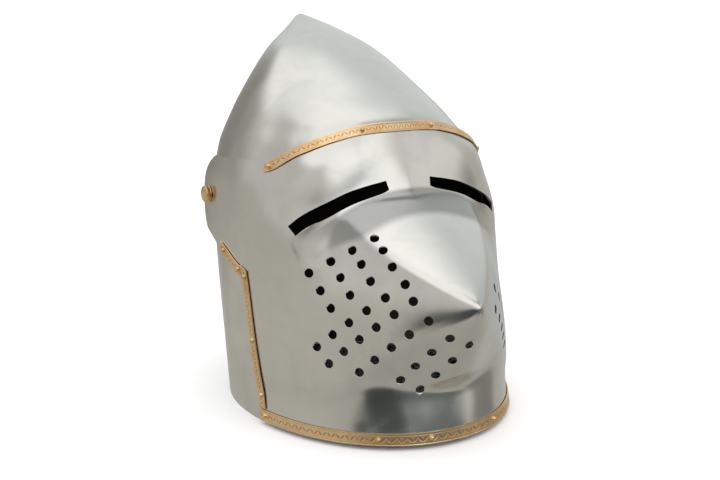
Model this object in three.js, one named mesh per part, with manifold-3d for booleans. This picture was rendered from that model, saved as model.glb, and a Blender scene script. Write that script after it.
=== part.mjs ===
// A pig-faced bascinet: a one-piece steel skull with a pointed apex, and a snouted visor that turns on two
// temple pivots. Brass strips held by small domed rivets edge the visor. Millimetres, +Z up, the face looks
// along -Y, and the helmet stands on the skull's lower rim at height 0.
import * as THREE from 'three';
import { mergeVertices } from 'three/addons/utils/BufferGeometryUtils.js';
import Module from 'manifold-3d';

const wasm = await Module();
wasm.setup();

// Driving dimensions
const SHEET = 1.6; // thickness of the steel plates
const LAP_GAP = 1.1; // air between the skull and the visor plate that laps over it
const SEAT_GAP = 0.3; // between a trim piece and what it sits on

const SKULL_HEIGHT = 290; // rim to apex
const SKULL_HALF_WIDTH = 102;
const SKULL_FRONT_REACH = 100; // ear line to the front of the closed skull, at the rim
const SKULL_REAR_REACH = 151.5; // ear line to the back of the head

const VISOR_RIM_LIFT = 3; // the visor's lower rim hangs this far above the skull's
const VISOR_HEIGHT = 218; // top of the visor over the brow
const VISOR_RIM_REACH = 127; // ear line to the front of the visor's lower rim
const CHEEK_FLARE = 1.3; // how far the cheeks stand off the lapping line at the rim
const NOSE_REACH = 154.2;
const NOSE_HEIGHT = 105.7;
const SNOUT_HALF_WIDTH = 103.5;
const COVE_START_HEIGHT = 172; // the crease under the eye slots, at the middle

const PIVOT_BACK = 62.3; // behind the ear line
const PIVOT_HEIGHT = 157;
const PIVOT_SHAFT_RADIUS = 3;
const PIVOT_HEAD_RADIUS = 6.75;
const PIVOT_HEAD_THICKNESS = 2.6;
const PIVOT_PLAY = 0.3; // between the shaft and the plates around it
const PIVOT_SIDES = 12;

const BROW_STRIP_WIDTH = 6.9;
const CHEEK_STRIP_WIDTH = 7.5;
const CHIN_STRIP_WIDTH = 8.4;
const STRIP_THICKNESS = 0.9;
const RIVET_RADIUS = 2.2;
const RIVET_HEIGHT = 1.6;
const BREATH_HOLE_RADIUS = 3.25;
const BREATH_HOLE_SIDES = 7;
const SLOT_HEIGHT_INNER = 6.2;
const SLOT_HEIGHT_OUTER = 8.2;

const AXIS_Y = 20; // the upright line that the visor's azimuths are measured round
const VISOR_HALF_WIDTH = SKULL_HALF_WIDTH + LAP_GAP + SHEET + CHEEK_FLARE;
const LAP = LAP_GAP + SHEET; // skull's outside to visor's outside where the plates lap
const PAST = 5; // a cutter runs this far past what it cuts

// Skull sections. Columns: height (share of SKULL_HEIGHT), half width (of SKULL_HALF_WIDTH), front (of
// SKULL_FRONT_REACH, forward), rear and widest place (of SKULL_REAR_REACH, backward), and squareness of the
// front.
const SKULL_SECTIONS = [
  [0.0, 1.0, 1.0, 0.8, 0.05, 2.3],
  [0.155, 1.0, 0.9, 0.87, 0.09, 2.5],
  [0.31, 1.0, 0.76, 0.94, 0.13, 2.8],
  [0.448, 0.993, 0.64, 0.985, 0.17, 3.0],
  [0.569, 0.97, 0.58, 1.0, 0.205, 3.1],
  [0.655, 0.912, 0.535, 0.987, 0.245, 3.0],
  [0.741, 0.775, 0.43, 0.95, 0.305, 2.5],
  [0.828, 0.598, 0.13, 0.895, 0.37, 2.25],
  [0.914, 0.382, -0.25, 0.82, 0.455, 2.15],
  [0.966, 0.167, -0.58, 0.76, 0.58, 2.1],
  [1.0, 0.03, -1.02, 0.713, 0.693, 2.0],
];

// Visor sections without the snout. Columns: height (share of VISOR_HEIGHT), half width (of
// VISOR_HALF_WIDTH), front (of VISOR_RIM_REACH, forward), widest place (of VISOR_HALF_WIDTH, backward),
// squareness across, and along.
const VISOR_SECTIONS = [
  [0.0, 1.001, 1.005, 0.094, 2.05, 2.05],
  [0.064, 0.989, 0.965, 0.104, 2.05, 2.05],
  [0.115, 0.981, 0.913, 0.113, 2.1, 2.1],
  [0.275, 0.979, 0.866, 0.113, 2.3, 2.3],
  [0.459, 0.977, 0.724, 0.17, 2.2, 2.8],
  [0.587, 0.981, 0.661, 0.208, 1.8, 3.4],
  [0.679, 0.975, 0.591, 0.245, 1.3, 4.6],
  [0.789, 0.962, 0.52, 0.283, 1.35, 3.8],
  [0.872, 0.91, 0.457, 0.33, 1.8, 3.2],
  [0.977, 0.783, 0.378, 0.425, 2.2, 2.6],
  [1.032, 0.726, 0.339, 0.453, 2.2, 2.6],
];

// The visor's top edge. Columns: azimuth in degrees, height (share of VISOR_HEIGHT).
const BROW_EDGE = [
  [0, 1.0], [12, 0.999], [25.4, 0.993], [40, 0.972], [55, 0.931], [69, 0.876], [80, 0.874], [106, 0.86],
  [132, 0.853],
];

// The crease under the eye slots. Columns: azimuth in degrees, height (share of COVE_START_HEIGHT).
const SLOT_CREASE = [
  [0, 1.0], [12, 0.997], [25, 0.977], [40, 0.913], [51, 0.837], [60, 0.773], [75, 0.727],
];

// The middle line of an eye slot. Columns: azimuth in degrees, height above COVE_START_HEIGHT (share of it).
const SLOT_LINE = [
  [12.3, 0.019], [28, -0.01], [40, -0.06], [48, -0.106], [52.3, -0.146],
];

// Rows of breath holes. Columns: azimuth and height of the first hole, then of the last (degrees, and shares
// of NOSE_HEIGHT), how many, and whether the far cheek has the same row.
const BREATH_ROWS = [
  [45.0, 1.124, 21.9, 1.366, 4, false],
  [40.6, 1.017, 19.7, 1.304, 4, false],
  [36.7, 0.913, 17.7, 1.212, 4, false],
  [41.2, 0.653, 14.9, 1.114, 6, false],
  [37.0, 0.553, 13.4, 1.016, 6, true],
  [27.6, 0.521, 10.4, 0.901, 5, true],
  [15.7, 0.469, 5.5, 0.787, 4, false],
  [9.8, 0.392, 0.4, 0.73, 4, false],
];

const DEG = Math.PI / 180;
const clamp = THREE.MathUtils.clamp;

// A smooth curve through the rows of a table that doesn't overshoot them. Column 0 is where, column k what.
function tableCurve(rows, k) {
  const x = rows.map((row) => row[0]);
  const y = rows.map((row) => row[k]);
  const n = x.length;
  const slope = [];
  for (let i = 0; i < n - 1; i++) slope.push((y[i + 1] - y[i]) / (x[i + 1] - x[i]));
  const tangent = [slope[0]];
  for (let i = 1; i < n - 1; i++) {
    const same = slope[i - 1] * slope[i] > 0;
    tangent.push(same ? (2 * slope[i - 1] * slope[i]) / (slope[i - 1] + slope[i]) : 0);
  }
  tangent.push(slope[n - 2]);
  return (at) => {
    const v = clamp(at, x[0], x[n - 1]);
    let i = 0;
    while (i < n - 2 && v > x[i + 1]) i++;
    const h = x[i + 1] - x[i];
    const t = (v - x[i]) / h;
    const rise = t * t * (3 - 2 * t);
    const early = t * (1 - t) * (1 - t);
    const late = t * t * (t - 1);
    return y[i] * (1 - rise) + y[i + 1] * rise + h * (early * tangent[i] + late * tangent[i + 1]);
  };
}

const smoothMin = (values, k) => {
  const low = Math.min(...values);
  return low - k * Math.log(values.reduce((sum, v) => sum + Math.exp(-(v - low) / k), 0));
};
const smoothMax = (values, k) => -smoothMin(values.map((v) => -v), k);

const skullCurves = [1, 2, 3, 4, 5].map((k) => tableCurve(SKULL_SECTIONS, k));
const visorCurves = [1, 2, 3, 4, 5].map((k) => tableCurve(VISOR_SECTIONS, k));
const browCurve = tableCurve(BROW_EDGE, 1);
const creaseCurve = tableCurve(SLOT_CREASE, 1);
const slotCurve = tableCurve(SLOT_LINE, 1);

function skullSection(z) {
  const [a, front, rear, widest, n] = skullCurves.map((curve) => curve(z / SKULL_HEIGHT));
  return {
    a: a * SKULL_HALF_WIDTH,
    front: -front * SKULL_FRONT_REACH,
    rear: rear * SKULL_REAR_REACH,
    widest: widest * SKULL_REAR_REACH,
    across: n,
    along: n,
    back: 2,
  };
}

function visorSection(z) {
  const [a, front, widest, across, along] = visorCurves.map((curve) => curve(z / VISOR_HEIGHT));
  return {
    a: a * VISOR_HALF_WIDTH,
    front: -front * VISOR_RIM_REACH,
    rear: SKULL_REAR_REACH,
    widest: widest * VISOR_HALF_WIDTH,
    across,
    along,
    back: 3,
  };
}

// How far a section reaches from the axis at an azimuth (0 looks forward), the section grown by a margin.
function reach(section, azimuth, grow = 0) {
  const s = Math.abs(Math.sin(azimuth));
  const c = -Math.cos(azimuth);
  let low = 0;
  let high = 2 * (SKULL_REAR_REACH + NOSE_REACH);
  for (let i = 0; i < 40; i++) {
    const r = (low + high) / 2;
    const y = AXIS_Y + r * c - section.widest;
    const ahead = y < 0;
    const depth = (ahead ? section.widest - section.front : section.rear - section.widest) + grow;
    const across = (r * s / (section.a + grow)) ** (ahead ? section.across : section.back);
    const along = (Math.abs(y) / depth) ** (ahead ? section.along : section.back);
    if (across + along < 1) low = r;
    else high = r;
  }
  return (low + high) / 2;
}

// The snout: an upright pointed section whose two cheeks meet at the nose, cut by a roof from above and by
// two chin faces from below.
const ROOF_RISE = 0.69;
const ROOF_DROOP = 0.466 / SNOUT_HALF_WIDTH; // how fast the roof falls off to the sides
const CHIN_SLOPE = 0.432;
const CHIN_SWEEP = 0.58;
const CHIN_ROUNDING = 5;
const RIDGE_ROUNDING = 2.2;
const CHEEK_TAPER = 0.55; // above the nose, lost from the half width for each millimetre up
const CHEEK_LEAN_ABOVE = 0.45; // above the nose, how far the cheeks' meeting line leans back
const CHEEK_LEAN_BELOW = 0.2;
const TAPER_ROUNDING = 26; // height over which the taper sets in
const LEAN_ROUNDING = 8;
const CHEEK_WIDEST = 14; // behind the ear line
const CHEEK_SQUARENESS = { across: 1.05, along: 2 };
const LEAST_FACING = 0.08; // a chin face turned further away than this isn't met
const NO_LIMIT = 600;
const TINY = 1e-9;

// Grows from nothing below zero to the height itself above it, turning over a rounding height.
const riseFrom = (height, rounding) => (height + Math.hypot(height, rounding)) / 2;

function snoutReach(azimuth, z) {
  const s = Math.abs(Math.sin(azimuth));
  const c = Math.cos(azimuth);
  const below = NOSE_HEIGHT - z;
  const leanAbove = (CHEEK_LEAN_ABOVE - CHEEK_LEAN_BELOW) * riseFrom(-below, LEAN_ROUNDING);
  const cheeks = {
    a: SNOUT_HALF_WIDTH - CHEEK_TAPER * riseFrom(-below, TAPER_ROUNDING),
    front: -NOSE_REACH + leanAbove - CHEEK_LEAN_BELOW * below,
    rear: SKULL_REAR_REACH,
    widest: CHEEK_WIDEST,
    across: CHEEK_SQUARENESS.across,
    along: CHEEK_SQUARENESS.along,
    back: 3,
  };
  const chinFace = (sweep) => {
    const facing = c + sweep * s;
    return facing > LEAST_FACING ? (AXIS_Y + NOSE_REACH - CHIN_SLOPE * below) / facing : NO_LIMIT;
  };
  const chinFaces = [chinFace(CHIN_SWEEP), chinFace(-CHIN_SWEEP)];
  const chin = smoothMin(chinFaces, CHIN_ROUNDING) + CHIN_ROUNDING * Math.LN2;
  const droop = ROOF_DROOP * s * s + TINY;
  const rise = ROOF_RISE * c;
  const room = ROOF_RISE * (AXIS_Y + NOSE_REACH) + below;
  const roof = room > 0 ? (Math.sqrt(rise * rise + 4 * droop * room) - rise) / (2 * droop) : 0;
  const limits = [chin, roof].map((limit) => Math.min(limit, NO_LIMIT));
  return smoothMin([reach(cheeks, azimuth), ...limits], RIDGE_ROUNDING);
}

const COVE_SLOPE = 0.2;
const COVE_DEPTH = 34;
const SNOUT_BLEND = 5;
const LAP_BLEND = 0.6;
const LAP_START = PIVOT_HEIGHT - 1.5 * COVE_DEPTH; // the plates lap from this height up

function visorReach(azimuth, z) {
  const full = reach(visorSection(z), azimuth);
  const crease = COVE_START_HEIGHT * creaseCurve(Math.abs(azimuth) / DEG);
  let shell = full;
  if (z < crease) {
    const edge = reach(visorSection(crease), azimuth) + COVE_SLOPE * (crease - z);
    const t = clamp((crease - z) / COVE_DEPTH, 0, 1);
    const blend = t * t * (3 - 2 * t);
    shell = Math.min(full, edge) * (1 - blend) + full * blend;
  }
  const lapped = z > LAP_START ? reach(skullSection(z), azimuth, LAP) : 0;
  return smoothMax([smoothMax([shell, lapped], LAP_BLEND), snoutReach(azimuth, z)], SNOUT_BLEND);
}

function visorPoint(azimuth, z) {
  const r = visorReach(azimuth, z);
  return new THREE.Vector3(r * Math.sin(azimuth), AXIS_Y - r * Math.cos(azimuth), z);
}

function visorNormal(azimuth, z) {
  const d = 0.004;
  const h = 0.4;
  const across = visorPoint(azimuth + d, z).sub(visorPoint(azimuth - d, z));
  const up = visorPoint(azimuth, z + h).sub(visorPoint(azimuth, z - h));
  return across.cross(up).normalize();
}

function skullPoint(turn, z) {
  const { a, front, rear, widest, across } = skullSection(z);
  const s = Math.sin(turn);
  const c = Math.cos(turn);
  const power = 2 / (c > 0 ? across : 2);
  const depth = c > 0 ? front - widest : rear - widest;
  return new THREE.Vector3(a * Math.sign(s) * Math.abs(s) ** power, widest + depth * Math.abs(c) ** power, z);
}

function skullNormal(turn, z) {
  const d = 0.01;
  const h = 0.5;
  const across = skullPoint(turn + d, z).sub(skullPoint(turn - d, z));
  const up = skullPoint(turn, Math.min(z + h, SKULL_HEIGHT)).sub(skullPoint(turn, Math.max(z - h, 0)));
  return across.cross(up).normalize();
}

// Solids

function manifoldOf(positions, triangles) {
  return new wasm.Manifold(new wasm.Mesh({
    numProp: 3,
    vertProperties: new Float32Array(positions),
    triVerts: new Uint32Array(triangles),
  }));
}

function manifoldFromGeometry(source) {
  const geometry = source.clone();
  geometry.deleteAttribute('normal');
  geometry.deleteAttribute('uv');
  const merged = mergeVertices(geometry, 1e-4);
  return manifoldOf(merged.attributes.position.array, merged.index.array);
}

function geometryOf(solid) {
  const { vertProperties, triVerts } = solid.getMesh();
  const geometry = new THREE.BufferGeometry();
  geometry.setAttribute('position', new THREE.BufferAttribute(Float32Array.from(vertProperties), 3));
  geometry.setIndex(new THREE.BufferAttribute(Uint32Array.from(triVerts), 1));
  geometry.computeVertexNormals();
  return geometry;
}

// A closed sheet between two grids of points, grid[row][column], each row running the same way round the
// helmet. A wrapped sheet joins its last column to its first, and a capped one closes its top row over a
// point.
function sheetSolid(outer, inner, { wrapped = false, capTop = null } = {}) {
  const rows = outer.length;
  const columns = outer[0].length;
  const positions = [];
  const triangles = [];
  [outer, inner].forEach((grid) => grid.forEach((row) => row.forEach((p) => positions.push(p.x, p.y, p.z))));
  const id = (side, i, j) => side * rows * columns + i * columns + (j % columns);
  const quad = (p, q, r, s) => triangles.push(p, q, r, p, r, s);
  const spans = wrapped ? columns : columns - 1;
  for (let i = 0; i < rows - 1; i++) {
    for (let j = 0; j < spans; j++) {
      quad(id(0, i, j), id(0, i, j + 1), id(0, i + 1, j + 1), id(0, i + 1, j));
      quad(id(1, i, j), id(1, i + 1, j), id(1, i + 1, j + 1), id(1, i, j + 1));
    }
  }
  for (let j = 0; j < spans; j++) {
    quad(id(0, 0, j), id(1, 0, j), id(1, 0, j + 1), id(0, 0, j + 1));
    if (!capTop) quad(id(0, rows - 1, j), id(0, rows - 1, j + 1), id(1, rows - 1, j + 1), id(1, rows - 1, j));
  }
  if (!wrapped) {
    for (let i = 0; i < rows - 1; i++) {
      quad(id(0, i, 0), id(0, i + 1, 0), id(1, i + 1, 0), id(1, i, 0));
      quad(id(0, i, spans), id(1, i, spans), id(1, i + 1, spans), id(0, i + 1, spans));
    }
  }
  if (capTop) {
    capTop.forEach((p, side) => {
      const tip = positions.length / 3;
      positions.push(p.x, p.y, p.z);
      for (let j = 0; j < spans; j++) {
        const pair = [id(side, rows - 1, j), id(side, rows - 1, j + 1)];
        if (side) pair.reverse();
        triangles.push(pair[0], pair[1], tip);
      }
    });
  }
  return manifoldOf(positions, triangles);
}

// A prism that runs right across the helmet, from an outline in the side view given as (back, height) pairs.
function acrossPrism(outline) {
  const shape = new THREE.Shape(outline.map(([y, z]) => new THREE.Vector2(y, z)));
  const half = SKULL_HALF_WIDTH * 1.5;
  const geometry = new THREE.ExtrudeGeometry(shape, { depth: 2 * half, bevelEnabled: false });
  const turn = new THREE.Matrix4().makeBasis(
    new THREE.Vector3(0, 1, 0),
    new THREE.Vector3(0, 0, 1),
    new THREE.Vector3(1, 0, 0),
  );
  geometry.applyMatrix4(turn);
  geometry.translate(-half, 0, 0);
  return manifoldFromGeometry(geometry);
}

// Points on an arc round a corner, from one angle to another in degrees, in the side view.
function arc(y, z, radius, from, to, steps) {
  return Array.from({ length: steps + 1 }, (_, i) => {
    const angle = (from + ((to - from) * i) / steps) * DEG;
    return [y + radius * Math.cos(angle), z + radius * Math.sin(angle)];
  });
}

// A ribbon that lies on the visor along a line of (azimuth, height) places, its under and upper faces at the
// given heights over the plate. Its width may change along it, and each of its two edges may start and end
// elsewhere on the line, for ends that aren't cut square.
const SQUARE_ENDS = [[0, 1], [0, 1]];

function ribbonSolid(line, width, under, upper, steps, ends = SQUARE_ENDS) {
  const place = (t) => {
    const k = clamp(t, 0, 1) * (line.length - 1);
    const i = Math.min(Math.floor(k), line.length - 2);
    const f = k - i;
    return [line[i][0] + f * (line[i + 1][0] - line[i][0]), line[i][1] + f * (line[i + 1][1] - line[i][1])];
  };
  const rows = [[], [], [], []];
  const d = 0.5 / steps;
  for (let k = 0; k <= steps; k++) {
    ends.forEach(([from, to], edge) => {
      const t = from + ((to - from) * k) / steps;
      const along = visorPoint(...place(t + d)).sub(visorPoint(...place(t - d))).normalize();
      const side = visorNormal(...place(t)).cross(along);
      const p = visorPoint(...place(t)).addScaledVector(side, (edge - 0.5) * width(t));
      const azimuth = Math.atan2(p.x, AXIS_Y - p.y);
      const foot = visorPoint(azimuth, p.z);
      const normal = visorNormal(azimuth, p.z);
      rows[edge].push(foot.clone().addScaledVector(normal, upper));
      rows[edge + 2].push(foot.clone().addScaledVector(normal, under));
    });
  }
  return sheetSolid([rows[0], rows[1]], [rows[2], rows[3]]);
}

function mirrored(solid) {
  return solid.mirror([1, 0, 0]);
}

// Sampling of the plates

const SKULL_LEVELS = [
  0, 0.155, 0.31, 0.448, 0.53, 0.592, 0.655, 0.7, 0.741, 0.785, 0.828, 0.872, 0.914, 0.942, 0.966, 0.986, 1,
];
const SKULL_COLUMNS = 34;
const APEX_RISE = 0.6; // the apex over the topmost level
const APEX_BACK = 3; // and behind that level's front
const APEX_THICKNESS = 1.4 * SHEET;
const VISOR_LEVELS = [
  0.014, 0.064, 0.115, 0.183, 0.27, 0.355, 0.42, 0.459, 0.485, 0.514, 0.56, 0.62, 0.68, 0.725, 0.761, 0.789,
  0.826, 0.872, 0.917, 0.959, 1,
];
const LEVEL_OF_ARCH = 0.5; // above this share the levels rise and fall with the brow
const VISOR_AZIMUTHS = [
  0, 4, 8, 12, 17, 22, 27, 33, 39, 45, 51, 57, 64, 72, 81, 91, 103, 116, 130,
];

function skull() {
  const outer = [];
  const inner = [];
  SKULL_LEVELS.forEach((level) => {
    const z = level * SKULL_HEIGHT;
    const turns = Array.from({ length: SKULL_COLUMNS }, (_, j) => ((j + 0.5) * 2 * Math.PI) / SKULL_COLUMNS);
    outer.push(turns.map((turn) => skullPoint(turn, z)));
    inner.push(turns.map((turn) => {
      const normal = skullNormal(turn, z);
      if (level === 0) normal.setZ(0).normalize();
      return skullPoint(turn, z).addScaledVector(normal, -SHEET);
    }));
  });
  const apex = new THREE.Vector3(0, skullPoint(0, SKULL_HEIGHT).y + APEX_BACK, SKULL_HEIGHT + APEX_RISE);
  const under = apex.clone().setZ(apex.z - APEX_THICKNESS);
  const bowl = sheetSolid(outer, inner, { wrapped: true, capTop: [apex, under] });
  return bowl.subtract(acrossPrism(faceOpening())).subtract(pivotBore());
}

// The face opening in the side view: the temples' front edge, the brow's lower edge, a round lower corner.
const TEMPLE_EDGE = 27; // ahead of the ear line
const TEMPLE_CORNER_RADIUS = 13;
const BROW_EDGE_HEIGHT = 203; // lower edge of the skull's brow
const BROW_CORNER_RADIUS = 38;

function faceOpening() {
  const front = -2 * SKULL_FRONT_REACH;
  const cornerBack = -TEMPLE_EDGE + TEMPLE_CORNER_RADIUS;
  const cornerHeight = BROW_EDGE_HEIGHT - BROW_CORNER_RADIUS;
  const rounded = arc(cornerBack, TEMPLE_CORNER_RADIUS, TEMPLE_CORNER_RADIUS, 270, 180, 5);
  const brow = arc(-TEMPLE_EDGE - BROW_CORNER_RADIUS, cornerHeight, BROW_CORNER_RADIUS, 0, 90, 8);
  return [[front, -PAST], [cornerBack, -PAST], ...rounded, ...brow, [front, BROW_EDGE_HEIGHT]];
}

function pivotBore() {
  const geometry = new THREE.CylinderGeometry(
    PIVOT_SHAFT_RADIUS + PIVOT_PLAY,
    PIVOT_SHAFT_RADIUS + PIVOT_PLAY,
    3 * SKULL_HALF_WIDTH,
    PIVOT_SIDES,
  );
  geometry.rotateZ(Math.PI / 2);
  geometry.translate(0, PIVOT_BACK, PIVOT_HEIGHT);
  return manifoldFromGeometry(geometry);
}

// What is cut away behind the visor's rear edge, in the side view. The cheek's edge leans, turns back under
// the arm, and the arm ends in a round lobe behind the pivot.
const CHEEK_EDGE_LOW = 24.5; // ahead of the ear line, at the rim
const CHEEK_CORNER = { ahead: 0.9, height: 103.7 };
const ARM_KINK = { back: 45, height: 120.8 };
const LOBE_LENGTH = 26;
const LOBE_HALF_HEIGHT = 34;
const LOBE_CENTRE = { back: PIVOT_BACK - 12.3, height: PIVOT_HEIGHT - 2 };
const LOBE_TURN = { from: -48, to: 85 }; // degrees

const CHEEK_EDGE_RUN = (CHEEK_EDGE_LOW - CHEEK_CORNER.ahead) / (CHEEK_CORNER.height - VISOR_RIM_LIFT);
const cheekEdgeBack = (z) => -CHEEK_EDGE_LOW + CHEEK_EDGE_RUN * (z - VISOR_RIM_LIFT);

function behindVisor() {
  const rear = 2 * SKULL_REAR_REACH;
  const lobe = arc(0, 0, 1, LOBE_TURN.from, LOBE_TURN.to, 9).map(([y, z]) => [
    LOBE_CENTRE.back + y * LOBE_LENGTH,
    LOBE_CENTRE.height + z * LOBE_HALF_HEIGHT,
  ]);
  return [
    [cheekEdgeBack(-PAST), -PAST],
    [rear, -PAST],
    [rear, VISOR_HEIGHT + PAST],
    [lobe[lobe.length - 1][0], VISOR_HEIGHT + PAST],
    ...lobe.reverse(),
    [ARM_KINK.back, ARM_KINK.height],
    [-CHEEK_CORNER.ahead, CHEEK_CORNER.height],
  ];
}

// The places that a line from share 0 to share 1 passes, in equal steps.
function lineOf(steps, place) {
  return Array.from({ length: steps + 1 }, (_, i) => place(i / steps));
}

const slotPlace = (azimuth) => [azimuth * DEG, COVE_START_HEIGHT * (1 + slotCurve(azimuth))];

const SLOT_STEPS = 8;

function eyeSlot() {
  const from = SLOT_LINE[0][0];
  const to = SLOT_LINE[SLOT_LINE.length - 1][0];
  const line = lineOf(SLOT_STEPS, (t) => slotPlace(from + (to - from) * t));
  const width = (t) => SLOT_HEIGHT_INNER + (SLOT_HEIGHT_OUTER - SLOT_HEIGHT_INNER) * t;
  return ribbonSolid(line, width, -3 * SHEET, 2 * SHEET, SLOT_STEPS);
}

function breathHole(azimuth, z) {
  const radius = BREATH_HOLE_RADIUS;
  const geometry = new THREE.CylinderGeometry(radius, radius, 6 * SHEET, BREATH_HOLE_SIDES);
  const turn = new THREE.Quaternion().setFromUnitVectors(new THREE.Vector3(0, 1, 0), visorNormal(azimuth, z));
  geometry.applyQuaternion(turn);
  const centre = visorPoint(azimuth, z);
  geometry.translate(centre.x, centre.y, centre.z);
  return manifoldFromGeometry(geometry);
}

function breathHoles() {
  const holes = [];
  BREATH_ROWS.forEach(([azimuth0, height0, azimuth1, height1, count, both]) => {
    for (let i = 0; i < count; i++) {
      const t = i / (count - 1);
      const azimuth = (azimuth0 + (azimuth1 - azimuth0) * t) * DEG;
      const z = NOSE_HEIGHT * (height0 + (height1 - height0) * t);
      holes.push(breathHole(-azimuth, z));
      if (both) holes.push(breathHole(azimuth, z));
    }
  });
  return wasm.Manifold.union(holes);
}

function visorLevel(level, azimuth) {
  const z = level * VISOR_HEIGHT;
  const start = LEVEL_OF_ARCH * VISOR_HEIGHT;
  if (z <= start) return z;
  const brow = VISOR_HEIGHT * browCurve(Math.abs(azimuth) / DEG);
  return start + ((z - start) * (brow - start)) / (VISOR_HEIGHT - start);
}

function visor() {
  const leftSide = VISOR_AZIMUTHS.map((v) => v * DEG);
  const azimuths = [...leftSide.slice(1).reverse().map((v) => -v), ...leftSide];
  const outer = [];
  const inner = [];
  VISOR_LEVELS.forEach((level, i) => {
    const rim = i === 0;
    const height = (azimuth) => (rim ? VISOR_RIM_LIFT : visorLevel(level, azimuth));
    outer.push(azimuths.map((azimuth) => visorPoint(azimuth, height(azimuth))));
    inner.push(azimuths.map((azimuth) => {
      const normal = visorNormal(azimuth, height(azimuth));
      if (rim) normal.setZ(0).normalize();
      return visorPoint(azimuth, height(azimuth)).addScaledVector(normal, -SHEET);
    }));
  });
  const slot = eyeSlot();
  return sheetSolid(outer, inner)
    .subtract(acrossPrism(behindVisor()))
    .subtract(slot)
    .subtract(mirrored(slot))
    .subtract(breathHoles())
    .subtract(pivotBore());
}

// Brass trim

// The azimuth where the visor's side passes a place behind the ear line, at a height.
const SIDE_AZIMUTHS = { from: 30, to: 130 }; // degrees

function azimuthAt(back, z) {
  let low = SIDE_AZIMUTHS.from * DEG;
  let high = SIDE_AZIMUTHS.to * DEG;
  for (let i = 0; i < 40; i++) {
    const mid = (low + high) / 2;
    if (visorPoint(mid, z).y < back) low = mid;
    else high = mid;
  }
  return (low + high) / 2;
}

const TRIM_INSET = 0.3; // trim edge to plate edge
const BROW_STRIP_END = 69; // azimuth in degrees
const CHIN_STRIP_END = 66.3;
const BROW_STRIP_STEPS = 28;
const CHIN_STRIP_STEPS = 28;

const browStripPlace = (azimuth) =>
  [azimuth * DEG, VISOR_HEIGHT * browCurve(Math.abs(azimuth)) - BROW_STRIP_WIDTH / 2 - TRIM_INSET];
const browStripLine = lineOf(BROW_STRIP_STEPS, (t) => browStripPlace(BROW_STRIP_END * (2 * t - 1)));

const chinStripPlace = (azimuth) => [azimuth * DEG, VISOR_RIM_LIFT + CHIN_STRIP_WIDTH / 2 + TRIM_INSET];
const chinStripLine = lineOf(CHIN_STRIP_STEPS, (t) => chinStripPlace(CHIN_STRIP_END * (2 * t - 1)));

// The lower cheek strip runs up the cheek's rear edge, from the chin strip's top to a slanting end over the
// cheek's corner. Its line is given by heights, and its edges (rear, then front) by shares of that line.
const LOWER_STRIP_STEPS = 8;
const LOWER_STRIP = { low: 11.4, high: 115, ends: [[0.017, 1], [0, 0.956]] };
const lowerStripPlace = (z) => [azimuthAt(cheekEdgeBack(z) - CHEEK_STRIP_WIDTH / 2 - TRIM_INSET, z), z];
const lowerStripLine = lineOf(LOWER_STRIP_STEPS, (t) =>
  lowerStripPlace(LOWER_STRIP.low + (LOWER_STRIP.high - LOWER_STRIP.low) * t));

// The upper cheek strip runs from the lower one back along the arm's lower edge, both its ends cut upright.
// Its line is given by places behind the ear line, and its edges (lower, then upper) by shares of that line.
const UPPER_STRIP_STEPS = 5;
const UPPER_STRIP = { from: -1.5, to: 36.9, ends: [[0, 0.927], [0.125, 1]] };
const ARM_EDGE_RISE = (ARM_KINK.height - CHEEK_CORNER.height) / (ARM_KINK.back + CHEEK_CORNER.ahead);
const UPPER_STRIP_RAISE = (CHEEK_STRIP_WIDTH / 2) * Math.hypot(1, ARM_EDGE_RISE) + TRIM_INSET;
const upperStripPlace = (back) => {
  const z = CHEEK_CORNER.height + ARM_EDGE_RISE * (back + CHEEK_CORNER.ahead) + UPPER_STRIP_RAISE;
  return [azimuthAt(back, z), z];
};
const upperStripLine = lineOf(UPPER_STRIP_STEPS, (t) =>
  upperStripPlace(UPPER_STRIP.from + (UPPER_STRIP.to - UPPER_STRIP.from) * t));

const strip = (line, width, steps, ends) =>
  ribbonSolid(line, () => width, SEAT_GAP, SEAT_GAP + STRIP_THICKNESS, steps, ends);

// A small domed rivet head, seated on a strip at an azimuth and height of the visor.
const RIVET_PROFILE = [[0, 0], [1, 0], [0.75, 0.7], [0, 1]]; // shares of the radius and the height
const RIVET_SIDES = 8;

function rivet(azimuth, z) {
  const profile = RIVET_PROFILE.map(([r, h]) => new THREE.Vector2(r * RIVET_RADIUS, h * RIVET_HEIGHT));
  const geometry = new THREE.LatheGeometry(profile, RIVET_SIDES);
  const normal = visorNormal(azimuth, z);
  geometry.applyQuaternion(new THREE.Quaternion().setFromUnitVectors(new THREE.Vector3(0, 1, 0), normal));
  const seat = visorPoint(azimuth, z).addScaledVector(normal, 2 * SEAT_GAP + STRIP_THICKNESS);
  geometry.translate(seat.x, seat.y, seat.z);
  return manifoldFromGeometry(geometry);
}

// A pivot: a round head outside the arm, a shaft through both plates, and a burr inside the skull.
const PIVOT_BURR_RADIUS = 5;
const PIVOT_BURR_THICKNESS = 1.5;
const PIVOT_BEVEL = { rise: 0.6, inset: 1 }; // starts at this share of the head's thickness

// How far out a surface stands at a height and a place behind the ear line.
const armFaceAt = (back, z) => visorPoint(azimuthAt(back, z), z).x;
function skullSideAt(back, z) {
  let low = Math.PI / 3;
  let high = Math.PI;
  for (let i = 0; i < 40; i++) {
    const mid = (low + high) / 2;
    if (skullPoint(mid, z).y < back) low = mid;
    else high = mid;
  }
  return skullPoint((low + high) / 2, z).x;
}

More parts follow.
